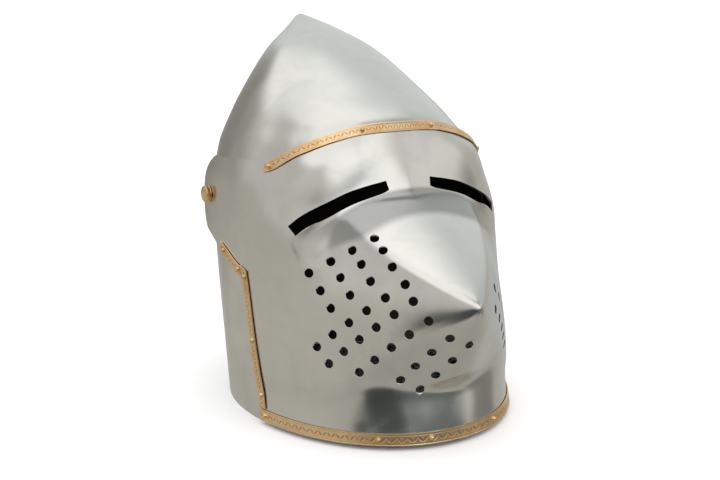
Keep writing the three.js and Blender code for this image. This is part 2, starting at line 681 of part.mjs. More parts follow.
function pivot() {
  const round = (radius, surface) => lineOf(PIVOT_SIDES, (t) => surface(
    PIVOT_BACK + radius * Math.cos(2 * Math.PI * t),
    PIVOT_HEIGHT + radius * Math.sin(2 * Math.PI * t),
  ));
  const headSeat = Math.max(...round(PIVOT_HEAD_RADIUS, armFaceAt)) + SEAT_GAP;
  const burrSeat = Math.min(...round(PIVOT_BURR_RADIUS, skullSideAt)) - SHEET - 2 * SEAT_GAP;
  const profile = [
    [0, burrSeat - PIVOT_BURR_THICKNESS],
    [PIVOT_BURR_RADIUS, burrSeat - PIVOT_BURR_THICKNESS],
    [PIVOT_BURR_RADIUS, burrSeat],
    [PIVOT_SHAFT_RADIUS, burrSeat],
    [PIVOT_SHAFT_RADIUS, headSeat],
    [PIVOT_HEAD_RADIUS, headSeat],
    [PIVOT_HEAD_RADIUS, headSeat + PIVOT_BEVEL.rise * PIVOT_HEAD_THICKNESS],
    [PIVOT_HEAD_RADIUS - PIVOT_BEVEL.inset, headSeat + PIVOT_HEAD_THICKNESS],
    [0, headSeat + PIVOT_HEAD_THICKNESS],
  ];
  const geometry = new THREE.LatheGeometry(profile.map(([r, x]) => new THREE.Vector2(r, x)), PIVOT_SIDES);
  geometry.rotateZ(-Math.PI / 2);
  geometry.translate(0, PIVOT_BACK, PIVOT_HEIGHT);
  return manifoldFromGeometry(geometry);
}

// The helmet

const steel = () => new THREE.MeshStandardMaterial({ color: 0xb9b9b4, roughness: 0.3, metalness: 1 });
const brass = () => new THREE.MeshStandardMaterial({ color: 0xc79a5b, roughness: 0.35, metalness: 1 });

const helmet = new THREE.Group();

function addPiece(name, solid, material) {
  const mesh = new THREE.Mesh(geometryOf(solid), material);
  mesh.name = name;
  helmet.add(mesh);
}

// Adds a piece made for the left side (+X) and its mirror image for the right.
function addPair(name, solid, material, suffix = '') {
  addPiece(`${name}_left${suffix}`, solid, material);
  addPiece(`${name}_right${suffix}`, mirrored(solid), material);
}

addPiece('skull', skull(), steel());
addPiece('visor', visor(), steel());
addPiece('brow_strip', strip(browStripLine, BROW_STRIP_WIDTH, BROW_STRIP_STEPS), brass());
addPiece('chin_strip', strip(chinStripLine, CHIN_STRIP_WIDTH, CHIN_STRIP_STEPS), brass());
const lowerStrip = strip(lowerStripLine, CHEEK_STRIP_WIDTH, LOWER_STRIP_STEPS, LOWER_STRIP.ends);
const upperStrip = strip(upperStripLine, CHEEK_STRIP_WIDTH, UPPER_STRIP_STEPS, UPPER_STRIP.ends);
addPair('cheek_strip_lower', lowerStrip, brass());
addPair('cheek_strip_upper', upperStrip, brass());
addPair('pivot', pivot(), brass());

// Rivets. Brow and chin: azimuths in degrees. Cheeks: heights, and places behind the ear line.
const BROW_RIVETS = [-66.3, -24, 24, 66.3];
const CHIN_RIVETS = [-63.4, -22.2, -7.5, 15.5, 63.4];
const LOWER_CHEEK_RIVETS = [21.5, 61, 106.5];
const UPPER_CHEEK_RIVETS = [5.5, 30];

BROW_RIVETS.forEach((azimuth, i) => {
  addPiece(`brow_rivet_${i + 1}`, rivet(...browStripPlace(azimuth)), brass());
});
CHIN_RIVETS.forEach((azimuth, i) => {
  addPiece(`chin_rivet_${i + 1}`, rivet(...chinStripPlace(azimuth)), brass());
});
LOWER_CHEEK_RIVETS.forEach((z, i) => {
  addPair('cheek_rivet_lower', rivet(...lowerStripPlace(z)), brass(), `_${i + 1}`);
});
UPPER_CHEEK_RIVETS.forEach((back, i) => {
  addPair('cheek_rivet_upper', rivet(...upperStripPlace(back)), brass(), `_${i + 1}`);
});

// The origin is on the ground under the middle of the helmet's length.
const footprint = new THREE.Box3().setFromObject(helmet);
helmet.position.y = -(footprint.min.y + footprint.max.y) / 2;

export default helmet;
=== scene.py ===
import math

import bpy
import numpy as np
from mathutils import Matrix, Vector


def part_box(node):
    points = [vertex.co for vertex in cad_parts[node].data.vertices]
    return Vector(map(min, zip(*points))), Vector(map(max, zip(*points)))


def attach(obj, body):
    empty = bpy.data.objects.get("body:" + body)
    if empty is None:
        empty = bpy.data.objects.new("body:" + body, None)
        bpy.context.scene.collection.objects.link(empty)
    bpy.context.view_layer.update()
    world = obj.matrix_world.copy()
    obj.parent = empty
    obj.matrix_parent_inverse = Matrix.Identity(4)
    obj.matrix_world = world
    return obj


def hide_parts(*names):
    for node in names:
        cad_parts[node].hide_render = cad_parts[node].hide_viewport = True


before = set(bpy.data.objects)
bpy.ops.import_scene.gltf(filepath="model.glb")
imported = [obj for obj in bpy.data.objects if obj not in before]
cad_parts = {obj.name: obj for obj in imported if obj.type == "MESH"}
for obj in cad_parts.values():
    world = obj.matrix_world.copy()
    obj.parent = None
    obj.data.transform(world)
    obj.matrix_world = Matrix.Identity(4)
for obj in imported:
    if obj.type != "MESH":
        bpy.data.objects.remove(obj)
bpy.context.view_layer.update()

MM = 0.001
DEG = math.pi / 180

# Driving sizes, in millimetres. The plates' own sizes come from the frame.
SHEET = 1.6
LAP = 2.7
APEX_CAP = 0.6
PIVOT_BACK = 62.3

skull_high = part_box("skull")[1] / MM
visor_low, visor_high = (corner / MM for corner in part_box("visor"))
pivot_low, pivot_high = (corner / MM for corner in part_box("pivot_left"))

SKULL_HEIGHT = skull_high.z - APEX_CAP
SKULL_HALF_WIDTH = 102
SKULL_FRONT_REACH = 100
SKULL_REAR_REACH = 151.5
VISOR_RIM_LIFT = visor_low.z
VISOR_HEIGHT = visor_high.z
VISOR_RIM_REACH = 127
VISOR_HALF_WIDTH = SKULL_HALF_WIDTH + LAP + 1.3
NOSE_REACH = 154.2
NOSE_HEIGHT = 105.7
SNOUT_HALF_WIDTH = 103.5
COVE_START_HEIGHT = 172
PIVOT_HEIGHT = (pivot_low.z + pivot_high.z) / 2
EAR_LINE = (pivot_low.y + pivot_high.y) / 2 - PIVOT_BACK
AXIS_Y = 20

# Skull sections. Columns: height (share of SKULL_HEIGHT), half width (of SKULL_HALF_WIDTH), front (of
# SKULL_FRONT_REACH, forward), rear and widest place (of SKULL_REAR_REACH, backward), squareness in front.
SKULL_SECTIONS = [
    [0.0, 1.0, 1.0, 0.8, 0.05, 2.3],
    [0.155, 1.0, 0.9, 0.87, 0.09, 2.5],
    [0.31, 1.0, 0.76, 0.94, 0.13, 2.8],
    [0.448, 0.993, 0.64, 0.985, 0.17, 3.0],
    [0.569, 0.97, 0.58, 1.0, 0.205, 3.1],
    [0.655, 0.912, 0.535, 0.987, 0.245, 3.0],
    [0.741, 0.775, 0.43, 0.95, 0.305, 2.5],
    [0.828, 0.598, 0.13, 0.895, 0.37, 2.25],
    [0.914, 0.382, -0.25, 0.82, 0.455, 2.15],
    [0.966, 0.167, -0.58, 0.76, 0.58, 2.1],
    [1.0, 0.03, -1.02, 0.713, 0.693, 2.0],
]

# Visor sections without the snout. Columns: height (share of VISOR_HEIGHT), half width (of
# VISOR_HALF_WIDTH), front (of VISOR_RIM_REACH, forward), widest place (of VISOR_HALF_WIDTH, backward),
# squareness across and along.
VISOR_SECTIONS = [
    [0.0, 1.001, 1.005, 0.094, 2.05, 2.05],
    [0.064, 0.989, 0.98, 0.104, 2.05, 2.05],
    [0.115, 0.981, 0.955, 0.113, 2.1, 2.1],
    [0.275, 0.979, 0.866, 0.113, 2.3, 2.3],
    [0.459, 0.977, 0.724, 0.17, 2.2, 2.8],
    [0.587, 0.981, 0.661, 0.208, 1.8, 3.4],
    [0.679, 0.975, 0.591, 0.245, 1.3, 4.6],
    [0.789, 0.962, 0.52, 0.283, 1.35, 3.8],
    [0.872, 0.91, 0.457, 0.33, 1.8, 3.2],
    [0.977, 0.783, 0.378, 0.425, 2.2, 2.6],
    [1.032, 0.726, 0.339, 0.453, 2.2, 2.6],
]

# The visor's top edge. Columns: azimuth in degrees, height (share of VISOR_HEIGHT).
BROW_EDGE = [
    [0, 1.0], [12, 0.999], [25.4, 0.993], [40, 0.972], [55, 0.931], [69, 0.876], [80, 0.874], [106, 0.86],
    [132, 0.853],
]

# The crease under the eye slots. Columns: azimuth in degrees, height (share of COVE_START_HEIGHT).
SLOT_CREASE = [[0, 1.0], [12, 0.997], [25, 0.977], [40, 0.913], [51, 0.837], [60, 0.773], [75, 0.727]]

# The middle line of an eye slot. Columns: azimuth in degrees, height above COVE_START_HEIGHT (share of it).
SLOT_LINE = [[12.3, 0.019], [28, -0.01], [40, -0.06], [48, -0.106], [52.3, -0.146]]

# Rows of breath holes. Columns: azimuth and height of the first hole, then of the last (degrees, and shares
# of NOSE_HEIGHT), how many, and whether the far cheek has the same row.
BREATH_ROWS = [
    [45.0, 1.124, 21.9, 1.366, 4, False],
    [40.6, 1.017, 19.7, 1.304, 4, False],
    [36.7, 0.913, 17.7, 1.212, 4, False],
    [41.2, 0.653, 14.9, 1.114, 6, False],
    [37.0, 0.553, 13.4, 1.016, 6, True],
    [27.6, 0.521, 10.4, 0.901, 5, True],
    [15.7, 0.469, 5.5, 0.787, 4, False],
    [9.8, 0.392, 0.4, 0.73, 4, False],
]

ROOF_RISE = 0.69
ROOF_DROOP = 0.466 / SNOUT_HALF_WIDTH
CHIN_SLOPE = 0.432
CHIN_SWEEP = 0.58
CHIN_ROUNDING = 5
RIDGE_ROUNDING = 2.2
CHEEK_TAPER = 0.55
CHEEK_LEAN_ABOVE = 0.45
CHEEK_LEAN_BELOW = 0.2
TAPER_ROUNDING = 26
LEAN_ROUNDING = 8
COVE_SLOPE = 0.2
COVE_DEPTH = 34
SNOUT_BLEND = 2.2
LAP_BLEND = 0.6

# The collar over the lower rim is crisper than the rest, and the chin's keel is flatter where it meets it
COLLAR_BLEND = 1.2
COLLAR_TOP = 28
COLLAR_FADE = 10
CHIN_FLATTENING = 14
CHIN_FADE = 30

# Where the visor's shell starts to wrap the skull, and how far under it the wrap begins
LAP_START = PIVOT_HEIGHT - COVE_DEPTH * 1.5
LAP_FADE = 10
LAP_SINK = 3

CHEEK_WIDEST = 14
CHEEK_SQUARENESS = 1.05
LEAST_FACING = 0.08
TINY = 1e-9
NO_LIMIT = 600

# How finely the surfaces are searched, and the steps between which their slope is taken
REACH_HALVINGS = 36
PLACE_HALVINGS = 30
PLACE_RANGE = (30, 130)
SLOPE_TURN = 0.003
SLOPE_RISE = 0.3


# Curves and surfaces. They work on whole arrays of points, in millimetres.

def table_curve(rows, column):
    """A smooth curve through a table's rows that doesn't overshoot them."""
    x = np.array([row[0] for row in rows], float)
    y = np.array([row[column] for row in rows], float)
    step = np.diff(x)
    slope = np.diff(y) / step
    tangent = np.empty(len(x))
    tangent[0], tangent[-1] = slope[0], slope[-1]
    before, after = slope[:-1], slope[1:]
    same = before * after > 0
    total = np.where(same, before + after, 1)
    tangent[1:-1] = np.where(same, 2 * before * after / total, 0)

    def curve(at):
        v = np.clip(np.asarray(at, float), x[0], x[-1])
        i = np.clip(np.searchsorted(x, v, side="left") - 1, 0, len(x) - 2)
        t = (v - x[i]) / step[i]
        rise = t * t * (3 - 2 * t)
        early = t * (1 - t) ** 2
        late = t * t * (t - 1)
        return y[i] * (1 - rise) + y[i + 1] * rise + step[i] * (early * tangent[i] + late * tangent[i + 1])

    return curve


def smooth_min(values, k):
    stack = np.stack(np.broadcast_arrays(*values))
    low = stack.min(0)
    return low - k * np.log(np.exp(-(stack - low) / k).sum(0))


def smooth_max(values, k):
    return -smooth_min([-v for v in values], k)


def rise_from(height, rounding):
    return (height + np.hypot(height, rounding)) / 2


def fade(value, low, high):
    """0 below low and 1 above high, with a soft rise between them."""
    t = np.clip((value - low) / (high - low), 0, 1)
    return t * t * (3 - 2 * t)


skull_curves = [table_curve(SKULL_SECTIONS, k) for k in range(1, 6)]
visor_curves = [table_curve(VISOR_SECTIONS, k) for k in range(1, 6)]
brow_curve = table_curve(BROW_EDGE, 1)
crease_curve = table_curve(SLOT_CREASE, 1)
slot_curve = table_curve(SLOT_LINE, 1)


def skull_section(z):
    a, front, rear, widest, n = (curve(z / SKULL_HEIGHT) for curve in skull_curves)
    return (a * SKULL_HALF_WIDTH, -front * SKULL_FRONT_REACH, rear * SKULL_REAR_REACH,
            widest * SKULL_REAR_REACH, n, n, 2)


def visor_section(z):
    a, front, widest, across, along = (curve(z / VISOR_HEIGHT) for curve in visor_curves)
    return (a * VISOR_HALF_WIDTH, -front * VISOR_RIM_REACH, SKULL_REAR_REACH,
            widest * VISOR_HALF_WIDTH, across, along, 3)


def reach(section, azimuth, grow=0.0):
    """How far a section reaches from the axis at an azimuth, the section grown by a margin."""
    a, front, rear, widest, across_power, along_power, back = section
    s = np.abs(np.sin(azimuth))
    c = -np.cos(azimuth)
    low = np.zeros(np.broadcast(azimuth, a).shape)
    high = low + 2 * (SKULL_REAR_REACH + NOSE_REACH)
    for _ in range(REACH_HALVINGS):
        r = (low + high) / 2
        y = AXIS_Y + r * c - widest
        ahead = y < 0
        depth = np.where(ahead, widest - front, rear - widest) + grow
        across = (r * s / (a + grow)) ** np.where(ahead, across_power, back)
        along = (np.abs(y) / depth) ** np.where(ahead, along_power, back)
        inside = across + along < 1
        low = np.where(inside, r, low)
        high = np.where(inside, high, r)
    return (low + high) / 2


def snout_reach(azimuth, z):
    s = np.abs(np.sin(azimuth))
    c = np.cos(azimuth)
    below = NOSE_HEIGHT - z
    lean = (CHEEK_LEAN_ABOVE - CHEEK_LEAN_BELOW) * rise_from(-below, LEAN_ROUNDING) - CHEEK_LEAN_BELOW * below
    half_width = SNOUT_HALF_WIDTH - CHEEK_TAPER * rise_from(-below, TAPER_ROUNDING)
    cheek_section = (half_width, lean - NOSE_REACH, SKULL_REAR_REACH, CHEEK_WIDEST, CHEEK_SQUARENESS, 2, 3)
    cheeks = reach(cheek_section, azimuth)

    def chin_face(sweep):
        facing = c + sweep * s
        face = (AXIS_Y + NOSE_REACH - CHIN_SLOPE * below) / np.maximum(facing, LEAST_FACING)
        return np.where(facing > LEAST_FACING, face, NO_LIMIT)

    flattened = CHIN_FLATTENING * (1 - fade(z, COLLAR_TOP, COLLAR_TOP + CHIN_FADE))
    chin = smooth_min([chin_face(CHIN_SWEEP), chin_face(-CHIN_SWEEP)], CHIN_ROUNDING + flattened)
    chin = chin + CHIN_ROUNDING * math.log(2)
    droop = ROOF_DROOP * s * s + TINY
    rise = ROOF_RISE * c
    room = np.maximum(ROOF_RISE * (AXIS_Y + NOSE_REACH) + below, 0)
    roof = (np.sqrt(rise * rise + 4 * droop * room) - rise) / (2 * droop)
    return smooth_min([cheeks, np.minimum(chin, NO_LIMIT), np.minimum(roof, NO_LIMIT)], RIDGE_ROUNDING)


def visor_reach(azimuth, z):
    full = reach(visor_section(z), azimuth)
    crease = COVE_START_HEIGHT * crease_curve(np.abs(azimuth) / DEG)
    under = np.maximum(crease - z, 0)
    edge = reach(visor_section(crease), azimuth) + COVE_SLOPE * under
    filled = fade(under, 0, COVE_DEPTH)
    shell = np.where(under > 0, np.minimum(full, edge) * (1 - filled) + full * filled, full)
    sunk = LAP_SINK * (1 - fade(z, LAP_START, LAP_START + LAP_FADE))
    lapped = np.where(z > LAP_START, reach(skull_section(z), azimuth, LAP) - sunk, 0)
    blend = COLLAR_BLEND + (SNOUT_BLEND - COLLAR_BLEND) * np.clip((z - COLLAR_TOP) / COLLAR_FADE, 0, 1)
    return smooth_max([smooth_max([shell, lapped], LAP_BLEND), snout_reach(azimuth, z)], blend)


def visor_points(azimuth, z):
    azimuth, z = np.broadcast_arrays(np.asarray(azimuth, float), np.asarray(z, float))
    r = visor_reach(azimuth, z)
    return np.stack([r * np.sin(azimuth), EAR_LINE + AXIS_Y - r * np.cos(azimuth), z], -1)


def visor_normals(azimuth, z):
    across = visor_points(azimuth + SLOPE_TURN, z) - visor_points(azimuth - SLOPE_TURN, z)
    up = visor_points(azimuth, z + SLOPE_RISE) - visor_points(azimuth, z - SLOPE_RISE)
    normal = np.cross(across, up)
    return normal / np.linalg.norm(normal, axis=-1, keepdims=True)


def skull_points(turn, z):
    a, front, rear, widest, n, _, _ = skull_section(z)
    s, c = np.sin(turn), np.cos(turn)
    power = 2 / np.where(c > 0, n, 2)
    depth = np.where(c > 0, front - widest, rear - widest)
    x = a * np.sign(s) * np.abs(s) ** power
    return np.stack([x, EAR_LINE + widest + depth * np.abs(c) ** power, z + 0 * x], -1)


# Modelling tools

def deselect_all():
    if bpy.context.object and bpy.context.object.mode != "OBJECT":
        bpy.ops.object.mode_set(mode="OBJECT")
    bpy.ops.object.select_all(action="DESELECT")


def select_only(piece):
    deselect_all()
    piece.select_set(True)
    bpy.context.view_layer.objects.active = piece


def named(name):
    piece = bpy.context.object
    piece.name = name
    piece.data.name = name
    return piece


def read_points(piece):
    flat = np.empty(len(piece.data.vertices) * 3, np.float32)
    piece.data.vertices.foreach_get("co", flat)
    return flat.reshape(-1, 3).astype(float)


def write_points(piece, points):
    piece.data.vertices.foreach_set("co", np.asarray(points, np.float32).ravel())
    piece.data.update()


def apply_modifier(piece, kind, **settings):
    select_only(piece)
    modifier = piece.modifiers.new(kind.lower(), kind)
    for key, value in settings.items():
        setattr(modifier, key, value)
    bpy.ops.object.modifier_apply(modifier=modifier.name)


def thicken(piece, thickness, inner_slot=0, even=True):
    apply_modifier(piece, "SOLIDIFY", thickness=thickness * MM, offset=-1, use_even_offset=even,
                   use_quality_normals=True, material_offset=inner_slot)


def cut(piece, cutter):
    apply_modifier(piece, "BOOLEAN", operation="DIFFERENCE", solver="MANIFOLD", object=cutter)
    bpy.data.objects.remove(cutter)


def line_with_painted_shade(piece):
    """Polished outside and near black inside, painted shade of the helmet's dark interior: the wall's inner
    faces take the second of these.
    """
    piece.data.materials.append(steel)
    piece.data.materials.append(inside_painted_shade)


def smooth(piece, angle=32):
    select_only(piece)
    bpy.ops.object.shade_smooth_by_angle(angle=angle * DEG)


def grid(name, columns, rows):
    """A flat grid whose x and y, from 0 to 1, say where on a surface each point goes."""
    deselect_all()
    bpy.ops.mesh.primitive_grid_add(x_subdivisions=columns, y_subdivisions=rows, size=1, location=(0, 0, 0))
    piece = named(name)
    points = read_points(piece)
    return piece, points[:, 0] + 0.5, points[:, 1] + 0.5


def prism_across(name, outline):
    """A block right across the helmet, with an outline of (back, height) pairs in the side view."""
    deselect_all()
    half = 1.5 * SKULL_HALF_WIDTH
    bpy.ops.mesh.primitive_circle_add(vertices=len(outline), radius=1, fill_type="NGON", location=(0, 0, 0))
    piece = named(name)
    write_points(piece, [(-half * MM, (EAR_LINE + y) * MM, z * MM) for y, z in outline])
    select_only(piece)
    bpy.ops.object.mode_set(mode="EDIT")
    bpy.ops.mesh.select_all(action="SELECT")
    bpy.ops.mesh.extrude_region_move(TRANSFORM_OT_translate={"value": (2 * half * MM, 0, 0)})
    bpy.ops.mesh.select_all(action="SELECT")
    bpy.ops.mesh.normals_make_consistent(inside=False)
    bpy.ops.object.mode_set(mode="OBJECT")
    return piece


def arc(y, z, radius, start, end, steps):
    angles = np.linspace(start, end, steps + 1) * DEG
    return [(y + radius * math.cos(a), z + radius * math.sin(a)) for a in angles]


def join(parts, into):
    deselect_all()
    for part in (*parts, into):
        part.select_set(True)
    bpy.context.view_layer.objects.active = into
    bpy.ops.object.join()


def copy_of(piece):
    copy = piece.copy()
    copy.data = piece.data.copy()
    bpy.context.collection.objects.link(copy)
    return copy


def standing(foot, normal):
    """The matrix that moves something from the origin to a foot, with its z axis along a normal."""
    turn = normal.to_track_quat("Z", "Y").to_matrix().to_4x4()
    return Matrix.Translation(foot * MM) @ turn


def dome_piece(name, radius, turns, rings, scale, lift=0.0):
    """The upper half of a ball, closed below, scaled and lifted."""
    deselect_all()
    bpy.ops.mesh.primitive_uv_sphere_add(segments=turns, ring_count=rings, radius=radius * MM,
                                         location=(0, 0, 0))
    dome = named(name)
    bpy.ops.object.mode_set(mode="EDIT")
    bpy.ops.mesh.select_all(action="SELECT")
    bpy.ops.mesh.bisect(plane_co=(0, 0, 0), plane_no=(0, 0, 1), use_fill=True, clear_inner=True)
    bpy.ops.mesh.select_all(action="SELECT")
    bpy.ops.transform.resize(value=scale)
    bpy.ops.transform.translate(value=(0, 0, lift * MM))
    bpy.ops.object.mode_set(mode="OBJECT")
    return dome


def turn_inside_out(piece):
    select_only(piece)
    bpy.ops.object.mode_set(mode="EDIT")
    bpy.ops.mesh.select_all(action="SELECT")
    bpy.ops.mesh.flip_normals()
    bpy.ops.object.mode_set(mode="OBJECT")


def cross_bore(name, radius):
    deselect_all()
    bpy.ops.mesh.primitive_cylinder_add(vertices=32, radius=radius * MM, depth=3 * SKULL_HALF_WIDTH * MM,
                                        location=(0, (EAR_LINE + PIVOT_BACK) * MM, PIVOT_HEIGHT * MM),
                                        rotation=(0, math.pi / 2, 0))
    bpy.ops.object.transform_apply(location=True, rotation=True, scale=True)
    return named(name)


# The skull

TEMPLE_EDGE = 27
TEMPLE_CORNER_RADIUS = 13
BROW_EDGE_HEIGHT = 203
BROW_CORNER_RADIUS = 38
PIVOT_BORE_RADIUS = 3.3
SKULL_RINGS = 128
SKULL_TURNS = 200
RING_CROWDING = 1.25
APEX_BACK = 3


def face_opening():
    past = 2 * SKULL_FRONT_REACH
    corner_back = TEMPLE_CORNER_RADIUS - TEMPLE_EDGE
    rounded = arc(corner_back, TEMPLE_CORNER_RADIUS, TEMPLE_CORNER_RADIUS, 270, 180, 12)
    brow = arc(-TEMPLE_EDGE - BROW_CORNER_RADIUS, BROW_EDGE_HEIGHT - BROW_CORNER_RADIUS,
               BROW_CORNER_RADIUS, 0, 90, 16)
    return [(-past, -1), (corner_back, -1), *rounded, *brow, (-past, BROW_EDGE_HEIGHT)]


def make_skull():
    deselect_all()
    bpy.ops.mesh.primitive_uv_sphere_add(segments=SKULL_TURNS, ring_count=SKULL_RINGS, radius=1,
                                         location=(0, 0, 0))
    shell = named("skull_shell")
    points = read_points(shell)
    # Latitude 0 is the top pole and 1 the lowest ring, whose pole and its fan of faces go
    latitude = np.arccos(np.clip(points[:, 2], -1, 1)) / math.pi * SKULL_RINGS / (SKULL_RINGS - 1)
    turn = np.arctan2(points[:, 0], -points[:, 1])
    lower = np.clip(latitude, 0, 1)
    z = SKULL_HEIGHT * (1 - lower ** RING_CROWDING)
    placed = skull_points(turn, z)
    top = latitude < 0.5 / SKULL_RINGS
    tip = skull_points(np.zeros(1), np.array([SKULL_HEIGHT]))[0, 1]
    placed[top] = [0, tip + APEX_BACK, SKULL_HEIGHT + APEX_CAP]
    write_points(shell, placed * MM)
    bottom = int(np.argmax(latitude))
    select_only(shell)
    shell.data.vertices.foreach_set("select", np.arange(len(points)) == bottom)
    shell.data.edges.foreach_set("select", np.zeros(len(shell.data.edges), bool))
    shell.data.polygons.foreach_set("select", np.zeros(len(shell.data.polygons), bool))
    bpy.ops.object.mode_set(mode="EDIT")
    bpy.ops.mesh.select_mode(type="VERT")
    bpy.ops.mesh.delete(type="VERT")
    bpy.ops.mesh.select_all(action="SELECT")
    bpy.ops.mesh.normals_make_consistent(inside=False)
    bpy.ops.object.mode_set(mode="OBJECT")
    line_with_painted_shade(shell)
    thicken(shell, SHEET, inner_slot=1)
    cut(shell, prism_across("face_opening_cutter", face_opening()))
    cut(shell, cross_bore("pivot_bore_cutter", PIVOT_BORE_RADIUS))
    smooth(shell)
    return shell


# The visor

CHEEK_EDGE_LOW = 24.5
CHEEK_CORNER_AHEAD = 0.9
CHEEK_CORNER_HEIGHT = 103.7
ARM_KINK_BACK = 45
ARM_KINK_HEIGHT = 120.8
LOBE_LENGTH = 26
LOBE_HALF_HEIGHT = 34
LOBE_AHEAD = 12.3
LOBE_BACK = PIVOT_BACK - LOBE_AHEAD
LOBE_HEIGHT = PIVOT_HEIGHT - 2
PAST = 5
BREATH_HOLE_RADIUS = 3.25
HOLE_CHAMFER = 0.12
SLOT_HEIGHT_INNER = 7.2
SLOT_HEIGHT_OUTER = 8.2
SLOT_DIP = 2.4
SLOT_STEPS = 24
CUTTER_ABOVE = 4.0
CUTTER_DEPTH = 12
PUNCH_INNER = -6.0
PUNCH_OUTER = 0.8
VISOR_TURN = 128
LOBE_TURN = (-48, 85)

# The visor's grid: columns and rows, the shares of its rows up to the nose and up to the slot crease, and how
# far its columns crowd towards the nose
VISOR_GRID = (264, 136)
NOSE_LEVEL = 0.48
CREASE_LEVEL = 0.75
EVEN_SHARE = 0.42
RIM_SNAP = 0.9


def cheek_edge_back(z):
    run = (CHEEK_EDGE_LOW - CHEEK_CORNER_AHEAD) / (CHEEK_CORNER_HEIGHT - VISOR_RIM_LIFT)
    return run * (z - VISOR_RIM_LIFT) - CHEEK_EDGE_LOW


def behind_visor():
    rear = 2 * SKULL_REAR_REACH
    top = VISOR_HEIGHT + PAST
    lobe = [(LOBE_BACK + y * LOBE_LENGTH, LOBE_HEIGHT + z * LOBE_HALF_HEIGHT)
            for y, z in arc(0, 0, 1, *LOBE_TURN, 30)]
    return [(cheek_edge_back(-PAST), -PAST), (rear, -PAST), (rear, top), (lobe[-1][0], top),
            *reversed(lobe), (ARM_KINK_BACK, ARM_KINK_HEIGHT), (-CHEEK_CORNER_AHEAD, CHEEK_CORNER_HEIGHT)]


def visor_height(level, azimuth):
    """The grid's rows run level up to the nose, then lean over to follow the slot crease and the brow."""
    crease = COVE_START_HEIGHT * crease_curve(np.abs(azimuth) / DEG)
    brow = VISOR_HEIGHT * brow_curve(np.abs(azimuth) / DEG)
    low = VISOR_RIM_LIFT + (NOSE_HEIGHT - VISOR_RIM_LIFT) * level / NOSE_LEVEL
    middle = NOSE_HEIGHT + (crease - NOSE_HEIGHT) * (level - NOSE_LEVEL) / (CREASE_LEVEL - NOSE_LEVEL)
    high = crease + (brow - crease) * (level - CREASE_LEVEL) / (1 - CREASE_LEVEL)
    return np.where(level < NOSE_LEVEL, low, np.where(level < CREASE_LEVEL, middle, high))


def place_on_visor(line, along, across, width, rise):
    """Points on a ribbon that follows a line of (azimuth, height) places over the visor."""
    line = np.array(line, float)
    at = np.linspace(0, 1, len(line))

    def place(t):
        return np.interp(t, at, line[:, 0]), np.interp(t, at, line[:, 1])

    step = 0.5 / len(line)
    t = np.clip(along, 0, 1)
    ahead = visor_points(*place(np.minimum(t + step, 1)))
    behind = visor_points(*place(np.maximum(t - step, 0)))
    direction = ahead - behind
    direction /= np.linalg.norm(direction, axis=-1, keepdims=True)
    side = np.cross(visor_normals(*place(t)), direction)
    spread = visor_points(*place(t)) + side * ((across - 0.5) * width)[:, None]
    azimuth = np.arctan2(spread[:, 0], EAR_LINE + AXIS_Y - spread[:, 1])
    foot = visor_points(azimuth, spread[:, 2])
    return foot + visor_normals(azimuth, spread[:, 2]) * np.asarray(rise)[..., None]


def slot_places():
    azimuth = np.linspace(SLOT_LINE[0][0], SLOT_LINE[-1][0], SLOT_STEPS)
    return [(a * DEG, COVE_START_HEIGHT * (1 + slot_curve(a))) for a in azimuth]


def eye_slot_cutter(name, side):
    """Cuts one eye slot, whose lower edge sags a little between its ends."""
    cutter, u, v = grid(name, SLOT_STEPS, 1)
    dip = SLOT_DIP * np.sin(np.pi * u)
    width = SLOT_HEIGHT_INNER + (SLOT_HEIGHT_OUTER - SLOT_HEIGHT_INNER) * u + dip
    points = place_on_visor(slot_places(), u, v, width, np.full(len(u), CUTTER_ABOVE))
    points[:, 2] -= dip / 2
    points[:, 0] *= side
    write_points(cutter, points * MM)
    if side < 0:
        turn_inside_out(cutter)
    thicken(cutter, CUTTER_DEPTH)
    return cutter


def breath_places():
    places = []
    for azimuth0, height0, azimuth1, height1, count, both in BREATH_ROWS:
        for k in range(count):
            t = k / (count - 1)
            azimuth = (azimuth0 + (azimuth1 - azimuth0) * t) * DEG
            z = NOSE_HEIGHT * (height0 + (height1 - height0) * t)
            places.append((-azimuth, z))
            if both:
                places.append((azimuth, z))
    return places


def breath_hole_cutter():
    """One punch, a cylinder that opens to a small chamfer at the surface, copied to every hole."""
    deselect_all()
    bpy.ops.mesh.primitive_cylinder_add(vertices=24, radius=BREATH_HOLE_RADIUS * MM,
                                        depth=(PUNCH_OUTER - PUNCH_INNER) * MM,
                                        location=(0, 0, (PUNCH_OUTER + PUNCH_INNER) / 2 * MM))
    bpy.ops.object.transform_apply(location=True, rotation=True, scale=True)
    punch = named("breath_punch")
    bpy.ops.object.mode_set(mode="EDIT")
    bpy.ops.mesh.select_all(action="SELECT")
    bpy.ops.mesh.bisect(plane_co=(0, 0, -HOLE_CHAMFER * MM), plane_no=(0, 0, 1))
    bpy.ops.object.mode_set(mode="OBJECT")
    points = read_points(punch)
    top = points[:, 2] > 0.5 * PUNCH_OUTER * MM
    points[top, :2] *= (BREATH_HOLE_RADIUS + HOLE_CHAMFER + PUNCH_OUTER) / BREATH_HOLE_RADIUS
    write_points(punch, points)
    copies = []
    for azimuth, z in breath_places():
        copy = copy_of(punch)
        copy.data.transform(standing(Vector(visor_points(azimuth, z)), Vector(visor_normals(azimuth, z))))
        copies.append(copy)
    bpy.data.objects.remove(punch)
    join(copies, copies[0])
    return named("breath_holes_cutter")


